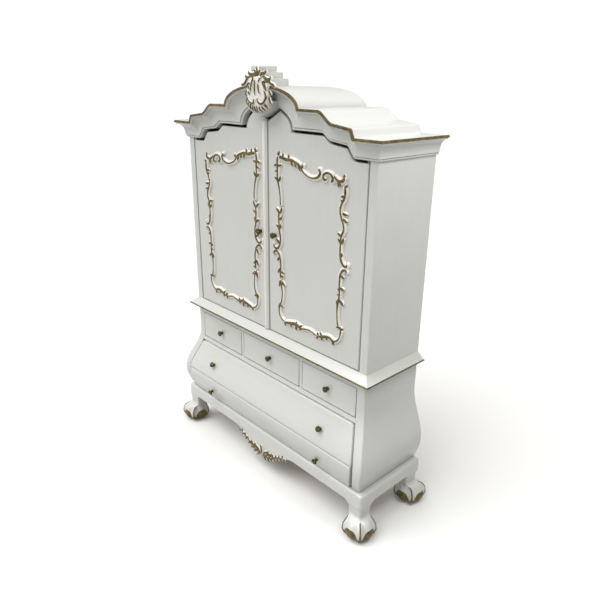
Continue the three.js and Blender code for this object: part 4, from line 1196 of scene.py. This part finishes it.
# The carved frame of the right door in millimetres: across from the meeting edge and up from
# the floor. Each stem is a line with its gilded half width.
STEMS = [
    # inner side, upper part: from the top corner down to the scroll at half height
    ([(87, 1866), (82, 1845), (83, 1800), (84, 1748), (94, 1715), (103, 1670), (105, 1612)],
     (4.5, 5, 4, 5, 3.5, 3, 3)),
    ([(98, 1590), (92, 1562), (93, 1530), (96, 1495), (104, 1460), (103, 1432), (92, 1404),
      (72, 1391), (57, 1396), (52, 1408), (60, 1414)], (4, 4.5, 4, 5, 4, 4.5, 5, 4.5, 4)),
    # inner side, lower part
    ([(60, 1356), (52, 1362), (57, 1374), (72, 1378), (92, 1365), (103, 1338), (107, 1300),
      (104, 1262), (105, 1232)], (4, 4.5, 5, 4.5, 4, 3.5, 4.5, 4.5)),
    ([(106, 1224), (113, 1195), (118, 1155), (114, 1118), (101, 1085), (93, 1062),
      (94, 1036), (108, 1012), (137, 994)], (5, 3.5, 3, 3, 4, 4.5, 3, 3, 4)),
    # foot
    ([(137, 993), (165, 999), (200, 1006), (232, 1009), (262, 999), (296, 1006), (330, 1010),
      (362, 1002), (380, 996)], (5, 6, 7, 6.5, 4, 3, 3, 4)),
    ([(384, 996), (410, 1001), (436, 1011), (470, 1017), (499, 1004)], (4, 6, 6, 5, 6)),
    # outer side
    ([(502, 1006), (526, 1024), (540, 1052), (544, 1084)], (4, 3, 3, 5)),
    ([(532, 1090), (524, 1106), (517, 1150), (517, 1205), (525, 1240), (527, 1290),
      (525, 1325), (529, 1362), (545, 1386), (562, 1388), (566, 1378), (560, 1372)],
     (6, 3, 3, 5, 4.5, 4, 4, 4.5, 5, 4)),
    ([(560, 1428), (568, 1420), (562, 1408), (546, 1410), (532, 1426), (524, 1456),
      (522, 1505), (527, 1548), (538, 1572), (537, 1598), (524, 1626), (514, 1656),
      (521, 1692), (537, 1722), (540, 1756), (532, 1782)],
     (4, 5, 5, 4, 3.5, 4.5, 4, 4.5, 4, 4.5, 5.5, 5.5)),
    # top: a leafy run, a dip, a scroll and a short run to the outer corner
    ([(90, 1858), (118, 1856), (150, 1849), (180, 1851), (208, 1845), (232, 1836),
      (252, 1824), (264, 1832), (258, 1840)], (6, 6, 6.5, 5.5, 5, 5, 6, 5)),
    ([(252, 1822), (266, 1806), (290, 1792), (318, 1784), (350, 1786), (372, 1797),
      (381, 1814), (374, 1826), (366, 1820)], (4, 3.5, 3, 3, 3.5, 5, 5.5, 5)),
    ([(422, 1790), (410, 1786), (401, 1796), (406, 1810), (424, 1818), (444, 1816),
      (459, 1804), (461, 1790), (449, 1780)], (4.5, 5, 4.5, 4, 4, 5, 5.5, 5)),
    ([(468, 1812), (482, 1798), (500, 1791), (516, 1792), (530, 1804), (528, 1814)],
     (3.5, 4.5, 5, 5, 6, 5)),
]
# Leaves on the stems: across, up, heading in degrees, length, half width.
LEAVES = [
    (82, 1819, 182, 26, 5), (84, 1816, -4, 25, 5), (80, 1792, 196, 17, 4), (86, 1862, 60, 22, 6),
    (86, 1737, 128, 30, 5), (88, 1737, 48, 30, 5), (95, 1577, 122, 34, 5), (97, 1577, 52, 36, 5),
    (93, 1546, 28, 26, 5), (95, 1498, 130, 28, 5), (97, 1498, 58, 28, 4.5), (98, 1418, 128, 34, 5),
    (98, 1352, 222, 30, 5), (104, 1290, 222, 34, 5.5), (105, 1274, -30, 20, 5),
    (104, 1250, -24, 18, 5), (104, 1224, 242, 36, 6), (108, 1222, -52, 34, 6),
    (100, 1092, 236, 30, 6), (102, 1090, -58, 22, 5), (140, 996, 262, 18, 5.5),
    (188, 1002, 255, 20, 5), (226, 1004, 262, 26, 5.5), (250, 1002, -60, 20, 5),
    (224, 1010, 60, 16, 5), (250, 1004, 20, 22, 5), (388, 998, 236, 18, 5),
    (392, 1000, 104, 18, 4.5), (416, 1003, 108, 24, 5), (420, 1003, 250, 18, 5),
    (452, 1012, 262, 14, 4), (496, 1004, 256, 17, 6), (530, 1092, -20, 22, 6),
    (528, 1094, 196, 14, 5), (522, 1236, 236, 30, 6), (527, 1236, -54, 32, 6),
    (524, 1262, 196, 12, 4), (527, 1297, -28, 27, 5), (525, 1296, 232, 18, 4.5),
    (527, 1362, -42, 26, 5), (524, 1440, 58, 26, 5), (522, 1507, 112, 28, 5),
    (524, 1507, 50, 32, 5.5), (522, 1544, 140, 22, 5), (530, 1628, -40, 28, 5),
    (526, 1652, -22, 28, 5), (520, 1676, 190, 13, 4), (530, 1708, 184, 15, 5),
    (534, 1728, 186, 18, 5), (537, 1768, 30, 18, 5), (122, 1856, 78, 20, 5),
    (160, 1850, 66, 24, 5), (182, 1850, -84, 24, 5.5), (210, 1844, -90, 22, 5),
    (232, 1836, -76, 30, 5), (496, 1792, 262, 26, 5.5), (498, 1788, -66, 20, 4.5),
    (529, 1806, 76, 16, 5),
]


def carving_strokes(height, border, flip):
    """Two sets of raised lines along the same stems and leaves: broad white ones, and
    narrower gilded ones that stand a little higher on their crests."""
    white, gold = [], []
    runs = [(points, np.array(widths), (0.06, 0.06)) for points, widths in STEMS]
    for x, z, heading, length, width in LEAVES:
        points, widths = leaf(x, z, heading, length * 1.15, width)
        runs.append((points, widths, (0.1, 0.25)))
    for k, (points, widths, ends) in enumerate(runs):
        main = k < len(STEMS)
        gilt = widths * (1.5 if main else 1.4)
        body = gilt + (border if main else border * 0.5)
        rise = height * (0.84 if main else 0.7)
        white.append(stroke(points, body, rise, (0.03, 0.03), flip=flip, spacing=4))
        gold.append(
            stroke(points, gilt, height * (1.0 if main else 0.92), ends, flip=flip, full=0.5)
        )
    return white, gold


class ARMOIRE_OT_doors(bpy.types.Operator):
    """Two arched doors and the rounded strip over their joint"""

    bl_idname = "armoire.doors"
    bl_label = "Doors"

    def execute(self, context):
        radius = context.scene.armoire_sizes.edge_round / MM
        low, high = span("door_right_slab")
        high[0] -= DOOR_SLACK
        tip, spring = PEAK_TIP - DOOR_GAP, PEAK_SPRING - DOOR_GAP
        top = half_line({**FRIEZE_LINE, "arch": FRIEZE_LINE["arch"] - 7}, DOOR_GAP)
        top = top[(top[:, 0] > PEAK_HALF + 2) & (top[:, 0] < high[0] - 1)]
        inner_corner = [low[0], tip + (spring - tip) / PEAK_HALF * low[0]]
        lower = [[low[0], low[2]], [high[0], low[2]], [high[0], top[-1][1]]]
        outline = np.concatenate([[inner_corner], lower, top[::-1], [[PEAK_HALF, spring]]])
        white = finish(oil_paint, "Z")
        right = plate(outline, 0.0, high[1], radius)
        for side, board in (("right", right), ("left", mirrored(right))):
            piece(
                f"door_{side}_board", [board], white,
                f"door_{side}", (f"door_{side}_slab",),
            )
        low, high = span("door_left_astragal")
        middle, reach = (low[0] + high[0]) / 2, (high[0] - low[0]) / 2
        left, right = middle - reach, middle + reach
        strip = np.array([[left, low[2]], [right, low[2]], [right, high[2]], [left, high[2]]])
        piece(
            "astragal", [plate(strip, low[1] * 0.4, -GAP, 3.0)], white,
            "door_left", ("door_left_astragal",),
        )
        a = np.linspace(0, math.pi, 25)
        x, y = middle + 0.62 * reach * np.cos(a), low[1] * np.sin(a)
        ends = ((low[2], 0.75), (low[2] + 2, 0.95), (low[2] + 5, 1.0))
        ends += tuple((low[2] + high[2] - z, share) for z, share in ends[::-1])
        rings = [np.stack([x, np.minimum(y * share, -2), 0 * x + z], 1) for z, share in ends]
        # The bead's brighter white is a painted highlight.
        piece(
            "astragal_bead", [shell(rings)], finish(highlighted_oil_paint),
            "door_left", crease=60,
        )
        return {"FINISHED"}


class ARMOIRE_OT_door_carving(bpy.types.Operator):
    """Carved and gilded frames on the doors"""

    bl_idname = "armoire.door_carving"
    bl_label = "Door carving"

    def execute(self, context):
        sizes = context.scene.armoire_sizes
        for side, flip in (("right", 1), ("left", -1)):
            white, gold = carving_strokes(
                sizes.carving_height / MM, sizes.carving_border / MM, flip
            )
            # The carving's brighter white is a painted highlight.
            piece(
                f"door_{side}_carving", white, finish(highlighted_oil_paint),
                f"door_{side}", (f"door_{side}_ornament",), crease=70,
            )
            piece(
                f"door_{side}_gilding", gold, finish(antique_gold_paint),
                f"door_{side}", (), crease=70,
            )
        return {"FINISHED"}


# ---- apron leaves ----

# Leaves of the middle spray: across, heading in degrees, length, bend.
APRON_SPRAY = (
    (0, 92, 62, 0.1), (16, 64, 56, -0.45), (-16, 120, 52, 0.45), (34, 34, 52, 0.5),
    (-34, 148, 50, -0.5), (10, -60, 16, 0.3), (-12, 236, 18, -0.3), (52, 74, 34, -0.5),
    (-52, 108, 32, 0.5), (76, 40, 34, 0.4), (-78, 142, 32, -0.4),
)


def apron_edge(x):
    """Height of the apron's lower edge."""
    return float(lower_edge(BRACKET * 2, x))


def apron_face(x, z):
    """The apron's flat front under its leaves, the same at every height."""
    return BASE_Y + 0 * x


class ARMOIRE_OT_apron_leaves(bpy.types.Operator):
    """Spray of gilded leaves along the apron's drop"""

    bl_idname = "armoire.apron_leaves"
    bl_label = "Apron leaves"

    def execute(self, context):
        white, gold = [], []
        runs = []
        for side in (-1, 1):
            x = np.linspace(6, 205, 9)
            line = np.array([(side * v, apron_edge(v) + 9 + 4 * math.sin(v / 17)) for v in x])
            runs.append((line, np.array([6, 5, 5, 4.5, 4, 4.5, 4, 3.5, 4])))
            for k, v in enumerate(np.linspace(24, 200, 13)):
                lean = 62 if k % 2 else -58
                heading = lean if side > 0 else 180 - lean
                length = 30 - 10 * k / 12
                start = apron_edge(v) + 9
                points, widths = leaf(side * v, start, heading, length, 5.0, 0.3 * side)
                runs.append((points, widths))
        for x, heading, length, bend in APRON_SPRAY:
            points, widths = leaf(x, apron_edge(x) + 20, heading, length, 6.0, bend)
            runs.append((points, widths))
        for points, widths in runs:
            white.append(stroke(points, widths + 3, 7, (0.05, 0.05), apron_face, 4))
            gold.append(stroke(points, widths * 1.1, 9.5, (0.1, 0.2), apron_face, full=0.5))
        # The leaf grounds' brighter white is a painted highlight.
        piece(
            "apron_leaf_grounds", white, finish(highlighted_oil_paint),
            stands_for=("apron_ornament",), crease=70,
        )
        piece("apron_leaves", gold, finish(antique_gold_paint), crease=70)
        return {"FINISHED"}


# ---- crest ----

SHIELD_X, SHIELD_Z = 6.0, 158.0
SHIELD_DOME = 14.0
SHIELD_RIM = 7.0
STEP_HALF, STEP_FRONT, STEP_ROUND = 58.0, 10.0 - LIP_OUT, 5.0
# Layers of the stepped block: length, bottom and top above the lip's crown, droop.
STEP_LAYERS = ((140.0, -10, 27.5, 12.0), (104.0, 29.5, 56, 0.0), (66.0, 58, 83, 0.0))


def shield_reach(angle):
    """Distance from the shield's middle to its edge: a squarish oval, 84 mm to the sides,
    82 mm up and 80 mm down, with a scalloped edge."""
    c, s = np.abs(np.cos(angle)), np.sin(angle)
    up = np.where(s > 0, 82.0, 80.0)
    reach = ((c / 84.0) ** 2.6 + (np.abs(s) / up) ** 2.6) ** (-1 / 2.6)
    return reach * (1 + 0.028 * np.cos(14 * angle))


def shield_y(x, z):
    """Face of the shield: a dome that is lowest at the rim."""
    back = -LIP_OUT - GAP
    dx, dz = np.asarray(x, float) - SHIELD_X, np.asarray(z, float) - LIP_Z - SHIELD_Z
    share = np.hypot(dx, dz) / shield_reach(np.arctan2(dz, dx))
    rim = SHIELD_RIM * np.clip((1 - share) / 0.08, 0, 1) ** 0.5
    dome = SHIELD_DOME * np.sqrt(np.clip(1 - share**2, 0, 1))
    return back - np.where(share < 1, rim + dome, 0)


def shield_shell():
    """Rings from the middle of the dome out to the rim and round to the back."""
    angle = np.linspace(0, 2 * math.pi, 141)[:-1]
    share = np.concatenate([np.linspace(0.04, 0.9, 16), [0.93, 0.96, 0.98, 0.995]])
    reach = shield_reach(angle)
    rings = []
    for s in share:
        x, z = SHIELD_X + s * reach * np.cos(angle), LIP_Z + SHIELD_Z + s * reach * np.sin(angle)
        rings.append(np.stack([x, shield_y(x, z), z], 1))
    x, z = SHIELD_X + reach * np.cos(angle), LIP_Z + SHIELD_Z + reach * np.sin(angle)
    rings.append(np.stack([x, np.full(len(x), -LIP_OUT - 2.0), z], 1))
    rings.append(np.stack([x, np.full(len(x), -LIP_OUT + 2.0), z], 1))
    return shell(rings)


# Gilded lines of the crest: millimetres across from the middle and above the lip's height at
# the sides, with half widths. A plume and leaves at the top, two tiers that curl out to the
# lip, flutes on the shield, two scrolls and a fringe below.
CREST_LINES = [
    ([(5, 236), (7, 252), (4, 268), (5, 282)], (5, 7, 6, 3)),
    ([(2, 238), (-6, 250), (-12, 260), (-18, 268)], (5, 6.5, 6, 4)),
    ([(9, 238), (18, 250), (24, 260), (31, 266)], (5, 6.5, 6, 4)),
    ([(0, 236), (-18, 246), (-40, 244), (-56, 250), (-62, 262)], (5, 7.5, 8, 8, 5)),
    ([(30, 236), (40, 250), (56, 250), (68, 256), (74, 266)], (4, 7, 8, 7, 4)),
    ([(-6, 214), (-14, 232), (-34, 238), (-58, 232), (-80, 234), (-88, 246)],
     (5, 6.5, 6.5, 7, 7.5, 5)),
    ([(28, 208), (36, 222), (52, 236), (68, 228), (86, 222), (100, 228), (104, 240)],
     (5, 5.5, 5.5, 6.5, 8, 8, 5)),
    ([(-64, 232), (-78, 220), (-90, 206), (-106, 198), (-122, 202)], (6, 7, 7.5, 7, 5)),
    ([(52, 208), (70, 214), (88, 216), (104, 204), (122, 198), (136, 188)], (6, 8, 8, 6.5, 8, 5)),
    ([(58, 212), (66, 204), (74, 192), (80, 172)], (8, 9, 7, 4)),
    ([(-14, 228), (-18, 210), (-22, 190), (-28, 166)], (4, 6, 5.5, 3)),
    ([(7, 222), (6, 204), (6, 184), (7, 152)], (4, 6, 5.5, 3)),
    ([(30, 206), (32, 192), (36, 176), (42, 158)], (3.5, 6, 5, 3)),
    ([(-34, 208), (-46, 204), (-54, 196), (-58, 184)], (4, 5.5, 5.5, 5)),
    ([(-44, 196), (-40, 186), (-38, 180)], (4.5, 4.5, 3.5)),
    ([(-62, 174), (-66, 160), (-64, 146)], (4.5, 5.5, 5)),
    ([(-44, 170), (-38, 162), (-36, 154)], (5, 6.5, 5)),
    ([(-56, 150), (-52, 138), (-40, 124), (-24, 117), (-8, 118), (-2, 128), (-4, 142)],
     (4, 4.5, 5, 5.5, 6, 5.5, 5)),
    ([(66, 176), (76, 166), (80, 152), (76, 134), (62, 120), (44, 116), (30, 124), (24, 136),
      (30, 142)], (4.5, 5, 5.5, 5.5, 5.5, 6, 5.5, 6, 5.5)),
    ([(90, 176), (97, 164), (107, 154)], (4.5, 5.5, 4)),
    ([(92, 148), (96, 130), (108, 114)], (4, 5.5, 5.5)),
    ([(-62, 138), (-66, 124), (-62, 110)], (4, 4.5, 3.5)),
    ([(-50, 118), (-52, 108), (-50, 98)], (5, 6, 4.5)),
    ([(-32, 112), (-33, 98), (-32, 86)], (5.5, 7, 4.5)),
    ([(-14, 106), (-15, 92), (-17, 78)], (5, 6, 4)),
    ([(0, 104), (1, 88), (3, 72)], (5, 6, 4)),
    ([(16, 106), (18, 90), (24, 72)], (4.5, 5, 3.5)),
    ([(34, 104), (36, 90), (44, 76)], (5, 5.5, 4)),
    ([(52, 106), (58, 96), (64, 84)], (4.5, 5.5, 4)),
    ([(70, 116), (74, 104), (82, 92)], (5, 6, 4)),
]


def crest_runs():
    """The crest's lines at their real height."""
    return [(np.add(points, (0, LIP_Z)), np.array(widths)) for points, widths in CREST_LINES]


def crest_y(x, z):
    """Ground under the crest's lines: the shield's face inside it, and outside it a skin 6 mm
    before the lip."""
    return np.minimum(shield_y(x, z), -LIP_OUT - 2.0)


def layer_shell(length, low, high, droop):
    """One layer of the block behind the shield: a rounded oblong in plan, from the lip back by
    length, with rounded top and bottom edges and slightly wavy faces, whose underside hangs
    down at the sides by droop to meet the arched roof."""
    near, fall = quarter(STEP_ROUND)
    shrinks = [STEP_ROUND + 6, *near, *near[::-1], STEP_ROUND + 6]
    levels = [low, *(low + fall), *(high - fall[::-1]), high]
    rings = []
    for shrink, z in zip(shrinks, levels):
        x, front, back = STEP_HALF - shrink, STEP_FRONT + shrink, STEP_FRONT + length - shrink
        corners = [(x, front, 3.0), (x, back, 14.0), (-x, back, 14.0), (-x, front, 3.0)]
        section = rounded_corners(corners, 6)
        hang = droop * (section[:, 0] / STEP_HALF) ** 2 * (z < (low + high) / 2)
        section[:, 1] += 2.2 * np.sin(section[:, 0] / 11 + length)
        rings.append(np.column_stack([section, z - hang]))
    return shell(rings)


class ARMOIRE_OT_crest(bpy.types.Operator):
    """Carved shield with gilded leaves, and the stepped block behind it"""

    bl_idname = "armoire.crest"
    bl_label = "Crest"

    def execute(self, context):
        runs = crest_runs()
        white = [shield_shell()]
        gold = []
        for points, widths in runs:
            white.append(stroke(points, widths + 3.0, 5.0, (0.04, 0.04), crest_y, 4))
            gold.append(stroke(points, widths * 0.88, 8.0, (0.12, 0.2), crest_y, 2.5, full=0.5))
        # The shield's brighter white is a painted highlight.
        piece(
            "crest_shield", white, finish(highlighted_oil_paint),
            stands_for=("crest_cartouche",), crease=60,
        )
        piece("crest_gilding", gold, finish(antique_gold_paint), crease=70)
        base = LIP_Z + LIP_LINE["apex"]
        layers = [
            layer_shell(length, base + low, base + high, droop)
            for length, low, high, droop in STEP_LAYERS
        ]
        piece(
            "crest_steps", layers, finish(oil_paint, "X"),
            stands_for=("crest_block",),
        )
        return {"FINISHED"}


# ---- parts that keep their CAD shape ----


class ARMOIRE_OT_carcass(bpy.types.Operator):
    """Finishes on the boards, trays and pins that keep their own shape"""

    bl_idname = "armoire.carcass"
    bl_label = "Carcass finishes"

    def execute(self, context):
        upright_paint = ("divider_left", "divider_right")
        level_paint = ("chest_top", "dust_board_upper")
        upright_pine = ("chest_back", "upper_back")
        for name, node in NODES.items():
            if node.hide_render:
                continue
            if name in upright_paint:
                material = finish(oil_paint, "Z")
            elif name in level_paint:
                material = finish(oil_paint, "X")
            elif "_pin_" in name:
                material = finish(turned_steel)
            elif name in upright_pine:
                material = finish(planed_pine, "Z")
            else:
                material = finish(planed_pine, "X")
            for slot in node.material_slots:
                slot.material = material
        return {"FINISHED"}


# ---- stage ----

CAMERA_AT = (2.23211, -2.02759, 2.20431)
CAMERA_AZIMUTH, CAMERA_ELEVATION, CAMERA_ROLL = 46.92, 21.17, 0.56
CAMERA_LENS = 33.96
SOFT_SIDE = (-0.60, -0.45, 0.66)  # where the studio is brightest
SHADE_SHARE = 0.08
KEY_FROM = (-0.20, -0.46, 0.865)
KEY_STRENGTH, KEY_SPREAD = 2.1, 50
SIDE_AT, SIDE_TARGET = (1.9, 0.1, 3.1), (0.6, 0, 1.9)
SIDE_SIZE, SIDE_WATTS = 0.8, 26
STUDIO_REACH, STUDIO_HEIGHT = 30.0, 30
WHITE, FLOOR_WHITE, CLOTH_GREY = "FFFFFF", "E8E8E6", "A0A09E"


def camera_matrix():
    """Camera axes from azimuth, elevation and roll: it looks back along its own third axis."""
    azimuth, elevation, roll = (
        math.radians(v) for v in (CAMERA_AZIMUTH, CAMERA_ELEVATION, CAMERA_ROLL)
    )
    right = Vector((math.cos(azimuth), math.sin(azimuth), 0))
    level = Vector((math.sin(azimuth), -math.cos(azimuth), 0))
    back = math.cos(elevation) * level + math.sin(elevation) * Vector((0, 0, 1))
    up = back.cross(right)
    turned_right = math.cos(roll) * right + math.sin(roll) * up
    turned_up = -math.sin(roll) * right + math.cos(roll) * up
    matrix = Matrix((turned_right, turned_up, back)).transposed().to_4x4()
    matrix.translation = Vector(CAMERA_AT)
    return matrix


def add_lights():
    """A broad key light from the front left, and a soft square lamp above the right side."""
    key = bpy.data.lights.new("key", "SUN")
    key.energy, key.angle = KEY_STRENGTH, math.radians(KEY_SPREAD)
    lamp = add_to_scene("key", key)
    lamp.rotation_euler = Vector(KEY_FROM).to_track_quat("Z", "Y").to_euler()
    side = bpy.data.lights.new("side", "AREA")
    side.size, side.energy = SIDE_SIZE, SIDE_WATTS
    lamp = add_to_scene("side", side)
    lamp.location = SIDE_AT
    aim = Vector(SIDE_TARGET) - Vector(SIDE_AT)
    lamp.rotation_euler = aim.to_track_quat("-Z", "Y").to_euler()


def add_sky(scene):
    """White light from all round, which falls evenly from SOFT_SIDE to the side across."""
    world = bpy.data.worlds.new("studio")
    scene.world = world
    world.use_nodes = True
    tree = world.node_tree
    sky = add_node(tree, "TexCoord").outputs["Generated"]
    facing = add_node(tree, "VectorMath", {0: sky, 1: SOFT_SIDE}, operation="DOT_PRODUCT")
    fill = scene.armoire_sizes.fill_light
    strength = add_node(
        tree, "MapRange",
        {"Value": facing, "From Min": -1.0, "From Max": 1.0, "To Min": fill * SHADE_SHARE,
         "To Max": fill},
    )
    background = tree.nodes["Background"].inputs
    tree.links.new(strength.outputs["Result"], background["Strength"])
    background["Color"].default_value = rgba(linear(WHITE))


def stage_mesh(name, verts, faces, material_name, surface):
    """A mesh in one plain finish for the studio round the armoire."""
    mesh = bpy.data.meshes.new(name)
    mesh.from_pydata(verts, [], faces.tolist())
    mesh.materials.append(shade(new_material(material_name), surface))
    made = add_to_scene(name, mesh)
    return made


def level_sheet(name, height, code):
    """A wide level square in a dull finish."""
    x, y = STUDIO_REACH * np.array([[-1, 1, 1, -1], [-1, -1, 1, 1]])
    corners = np.stack([x, y, np.full(4, height)], 1)
    surface = {"Base Color": rgba(linear(code)), "Roughness": 0.9}
    return stage_mesh(name, corners, np.array([[0, 1, 2, 3]]), f"studio_{name}", surface)


class ARMOIRE_OT_stage(bpy.types.Operator):
    """Pale floor, soft studio light and the camera"""

    bl_idname = "armoire.stage"
    bl_label = "Stage"

    def execute(self, context):
        scene = context.scene
        scene.view_settings.view_transform = "Standard"
        add_sky(scene)
        floor = level_sheet("floor", 0.0, FLOOR_WHITE)
        floor.visible_diffuse = floor.visible_shadow = False
        # A grey cloth just under it, out of the camera's sight, keeps the bounce from below low.
        cloth = level_sheet("cloth", -MM, CLOTH_GREY)
        cloth.visible_camera = cloth.visible_glossy = False
        # A white sheet all round, which lights nothing and casts no shadow.
        turn = np.linspace(0, 2 * math.pi, 65)[:-1]
        x, y = STUDIO_REACH * np.cos(turn), STUDIO_REACH * np.sin(turn)
        wall = [np.stack([x, y, 0 * turn + height], 1) for height in (-1, STUDIO_HEIGHT)]
        verts, quads, _ = shell(wall)
        surface = {
            "Base Color": rgba((0, 0, 0)), "Emission Color": rgba(linear(WHITE)),
            "Emission Strength": 1.0,
        }
        backdrop = stage_mesh("backdrop", verts, quads, "backdrop_sheet", surface)
        backdrop.visible_diffuse = backdrop.visible_glossy = backdrop.visible_shadow = False
        add_lights()
        data = bpy.data.cameras.new("camera")
        data.lens, data.sensor_width = CAMERA_LENS, 36.0
        scene.camera = add_to_scene("camera", data)
        scene.camera.matrix_world = camera_matrix()
        return {"FINISHED"}


# ---- settings and panel ----


def size_property(name, description, millimetres):
    """A length that the user can change, given in millimetres and kept in metres."""
    return FloatProperty(
        name=name, description=description, default=millimetres * MM, min=0.0, unit="LENGTH"
    )


def colour_property(name, description, code):
    """A colour that the user can change, given as an sRGB hex value."""
    return FloatVectorProperty(
        name=name, description=description, default=linear(code), subtype="COLOR",
        min=0.0, max=1.0,
    )


class ArmoireSizes(bpy.types.PropertyGroup):
    edge_round: size_property("Edge rounding", "Radius on door and drawer edges", 6.0)
    carving_height: size_property("Carving height", "Relief of the carved frames", 13.0)
    carving_border: size_property("Carving border", "White margin beside the gilding", 10.0)
    lip_gilding: size_property("Lip gilding", "Height of the gilded line on the cornice", 11.5)
    waist_gilding: size_property("Waist gilding", "Height of the gilded line on the waist", 8.4)
    fill_light: FloatProperty(
        name="Fill light", description="Strength of the light from all round", default=1.0, min=0.0
    )


class ArmoireColours(bpy.types.PropertyGroup):
    paint: colour_property("Paint", "White oil paint", "CBCCC9")
    paint_aged: colour_property("Aged paint", "Paint where it has yellowed", "C9C9C3")
    paint_streak: colour_property("Brush streak", "Paint in the brush marks", "BDBDB7")
    # The two carving colours are a brighter copy of the paint: a painted highlight on the carving
    # and the bead.
    carving: colour_property("Carving paint", "Thick paint on the carving", "F1EEE9")
    carving_aged: colour_property("Aged carving paint", "The same, yellowed", "E6E0D6")
    undercoat: colour_property("Undercoat", "What shows in small chips", "8F8C80")
    gold: colour_property("Gold paint", "Crests of the gilding", "7A6734")
    gold_glaze: colour_property("Gold glaze", "Dark glaze in the gilding's hollows", "433C22")
    brass_patina: colour_property("Brass patina", "Body of the knobs", "3A3820")
    # Lighter knob colour: partly rubbed brass, partly painted glints.
    brass_rubbed_and_glint: colour_property("Rubbed brass", "Worn places on the knobs", "9A9058")
    pine: colour_property("Pine", "Earlywood of the bare boards", "D8BF92")
    pine_latewood: colour_property("Pine latewood", "Dark lines of the grain", "B48A54")
    pine_joint: colour_property("Pine joint", "Shade between two boards", "5E4526")
    steel: colour_property("Steel", "Pivot pins", "A6A8AC")
    steel_groove: colour_property("Steel groove", "Tool rings on the pins", "6F7175")


OPERATORS = (
    ARMOIRE_OT_stage, ARMOIRE_OT_cornice, ARMOIRE_OT_case, ARMOIRE_OT_waist, ARMOIRE_OT_chest,
    ARMOIRE_OT_drawers, ARMOIRE_OT_knobs, ARMOIRE_OT_base, ARMOIRE_OT_doors,
    ARMOIRE_OT_door_carving, ARMOIRE_OT_apron_leaves, ARMOIRE_OT_crest, ARMOIRE_OT_carcass,
)


class ARMOIRE_PT_panel(bpy.types.Panel):
    """Lists the armoire's sizes, colours and building steps"""

    bl_idname = "ARMOIRE_PT_panel"
    bl_label = "Armoire"
    bl_space_type = "VIEW_3D"
    bl_region_type = "UI"
    bl_category = "Armoire"

    def draw(self, context):
        scene = context.scene
        for group in (scene.armoire_sizes, scene.armoire_colours):
            for key in group.__annotations__:
                self.layout.prop(group, key)
        for operator in OPERATORS:
            self.layout.operator(operator.bl_idname)


CLASSES = (ArmoireSizes, ArmoireColours, *OPERATORS, ARMOIRE_PT_panel)


def register():
    """Adds the classes and the scene's two groups of settings."""
    for cls in CLASSES:
        bpy.utils.register_class(cls)
    bpy.types.Scene.armoire_sizes = PointerProperty(type=ArmoireSizes)
    bpy.types.Scene.armoire_colours = PointerProperty(type=ArmoireColours)


def unregister():
    """Removes what register added."""
    del bpy.types.Scene.armoire_colours
    del bpy.types.Scene.armoire_sizes
    for cls in reversed(CLASSES):
        bpy.utils.unregister_class(cls)


def main():
    """Builds everything in order."""
    register()
    for operator in OPERATORS:
        group, name = operator.bl_idname.split(".")
        result = getattr(getattr(bpy.ops, group), name)()
        if result != {"FINISHED"}:
            raise RuntimeError(f"{operator.bl_idname} did not finish")
    bpy.context.view_layer.update()


if __name__ == "__main__":
    main()
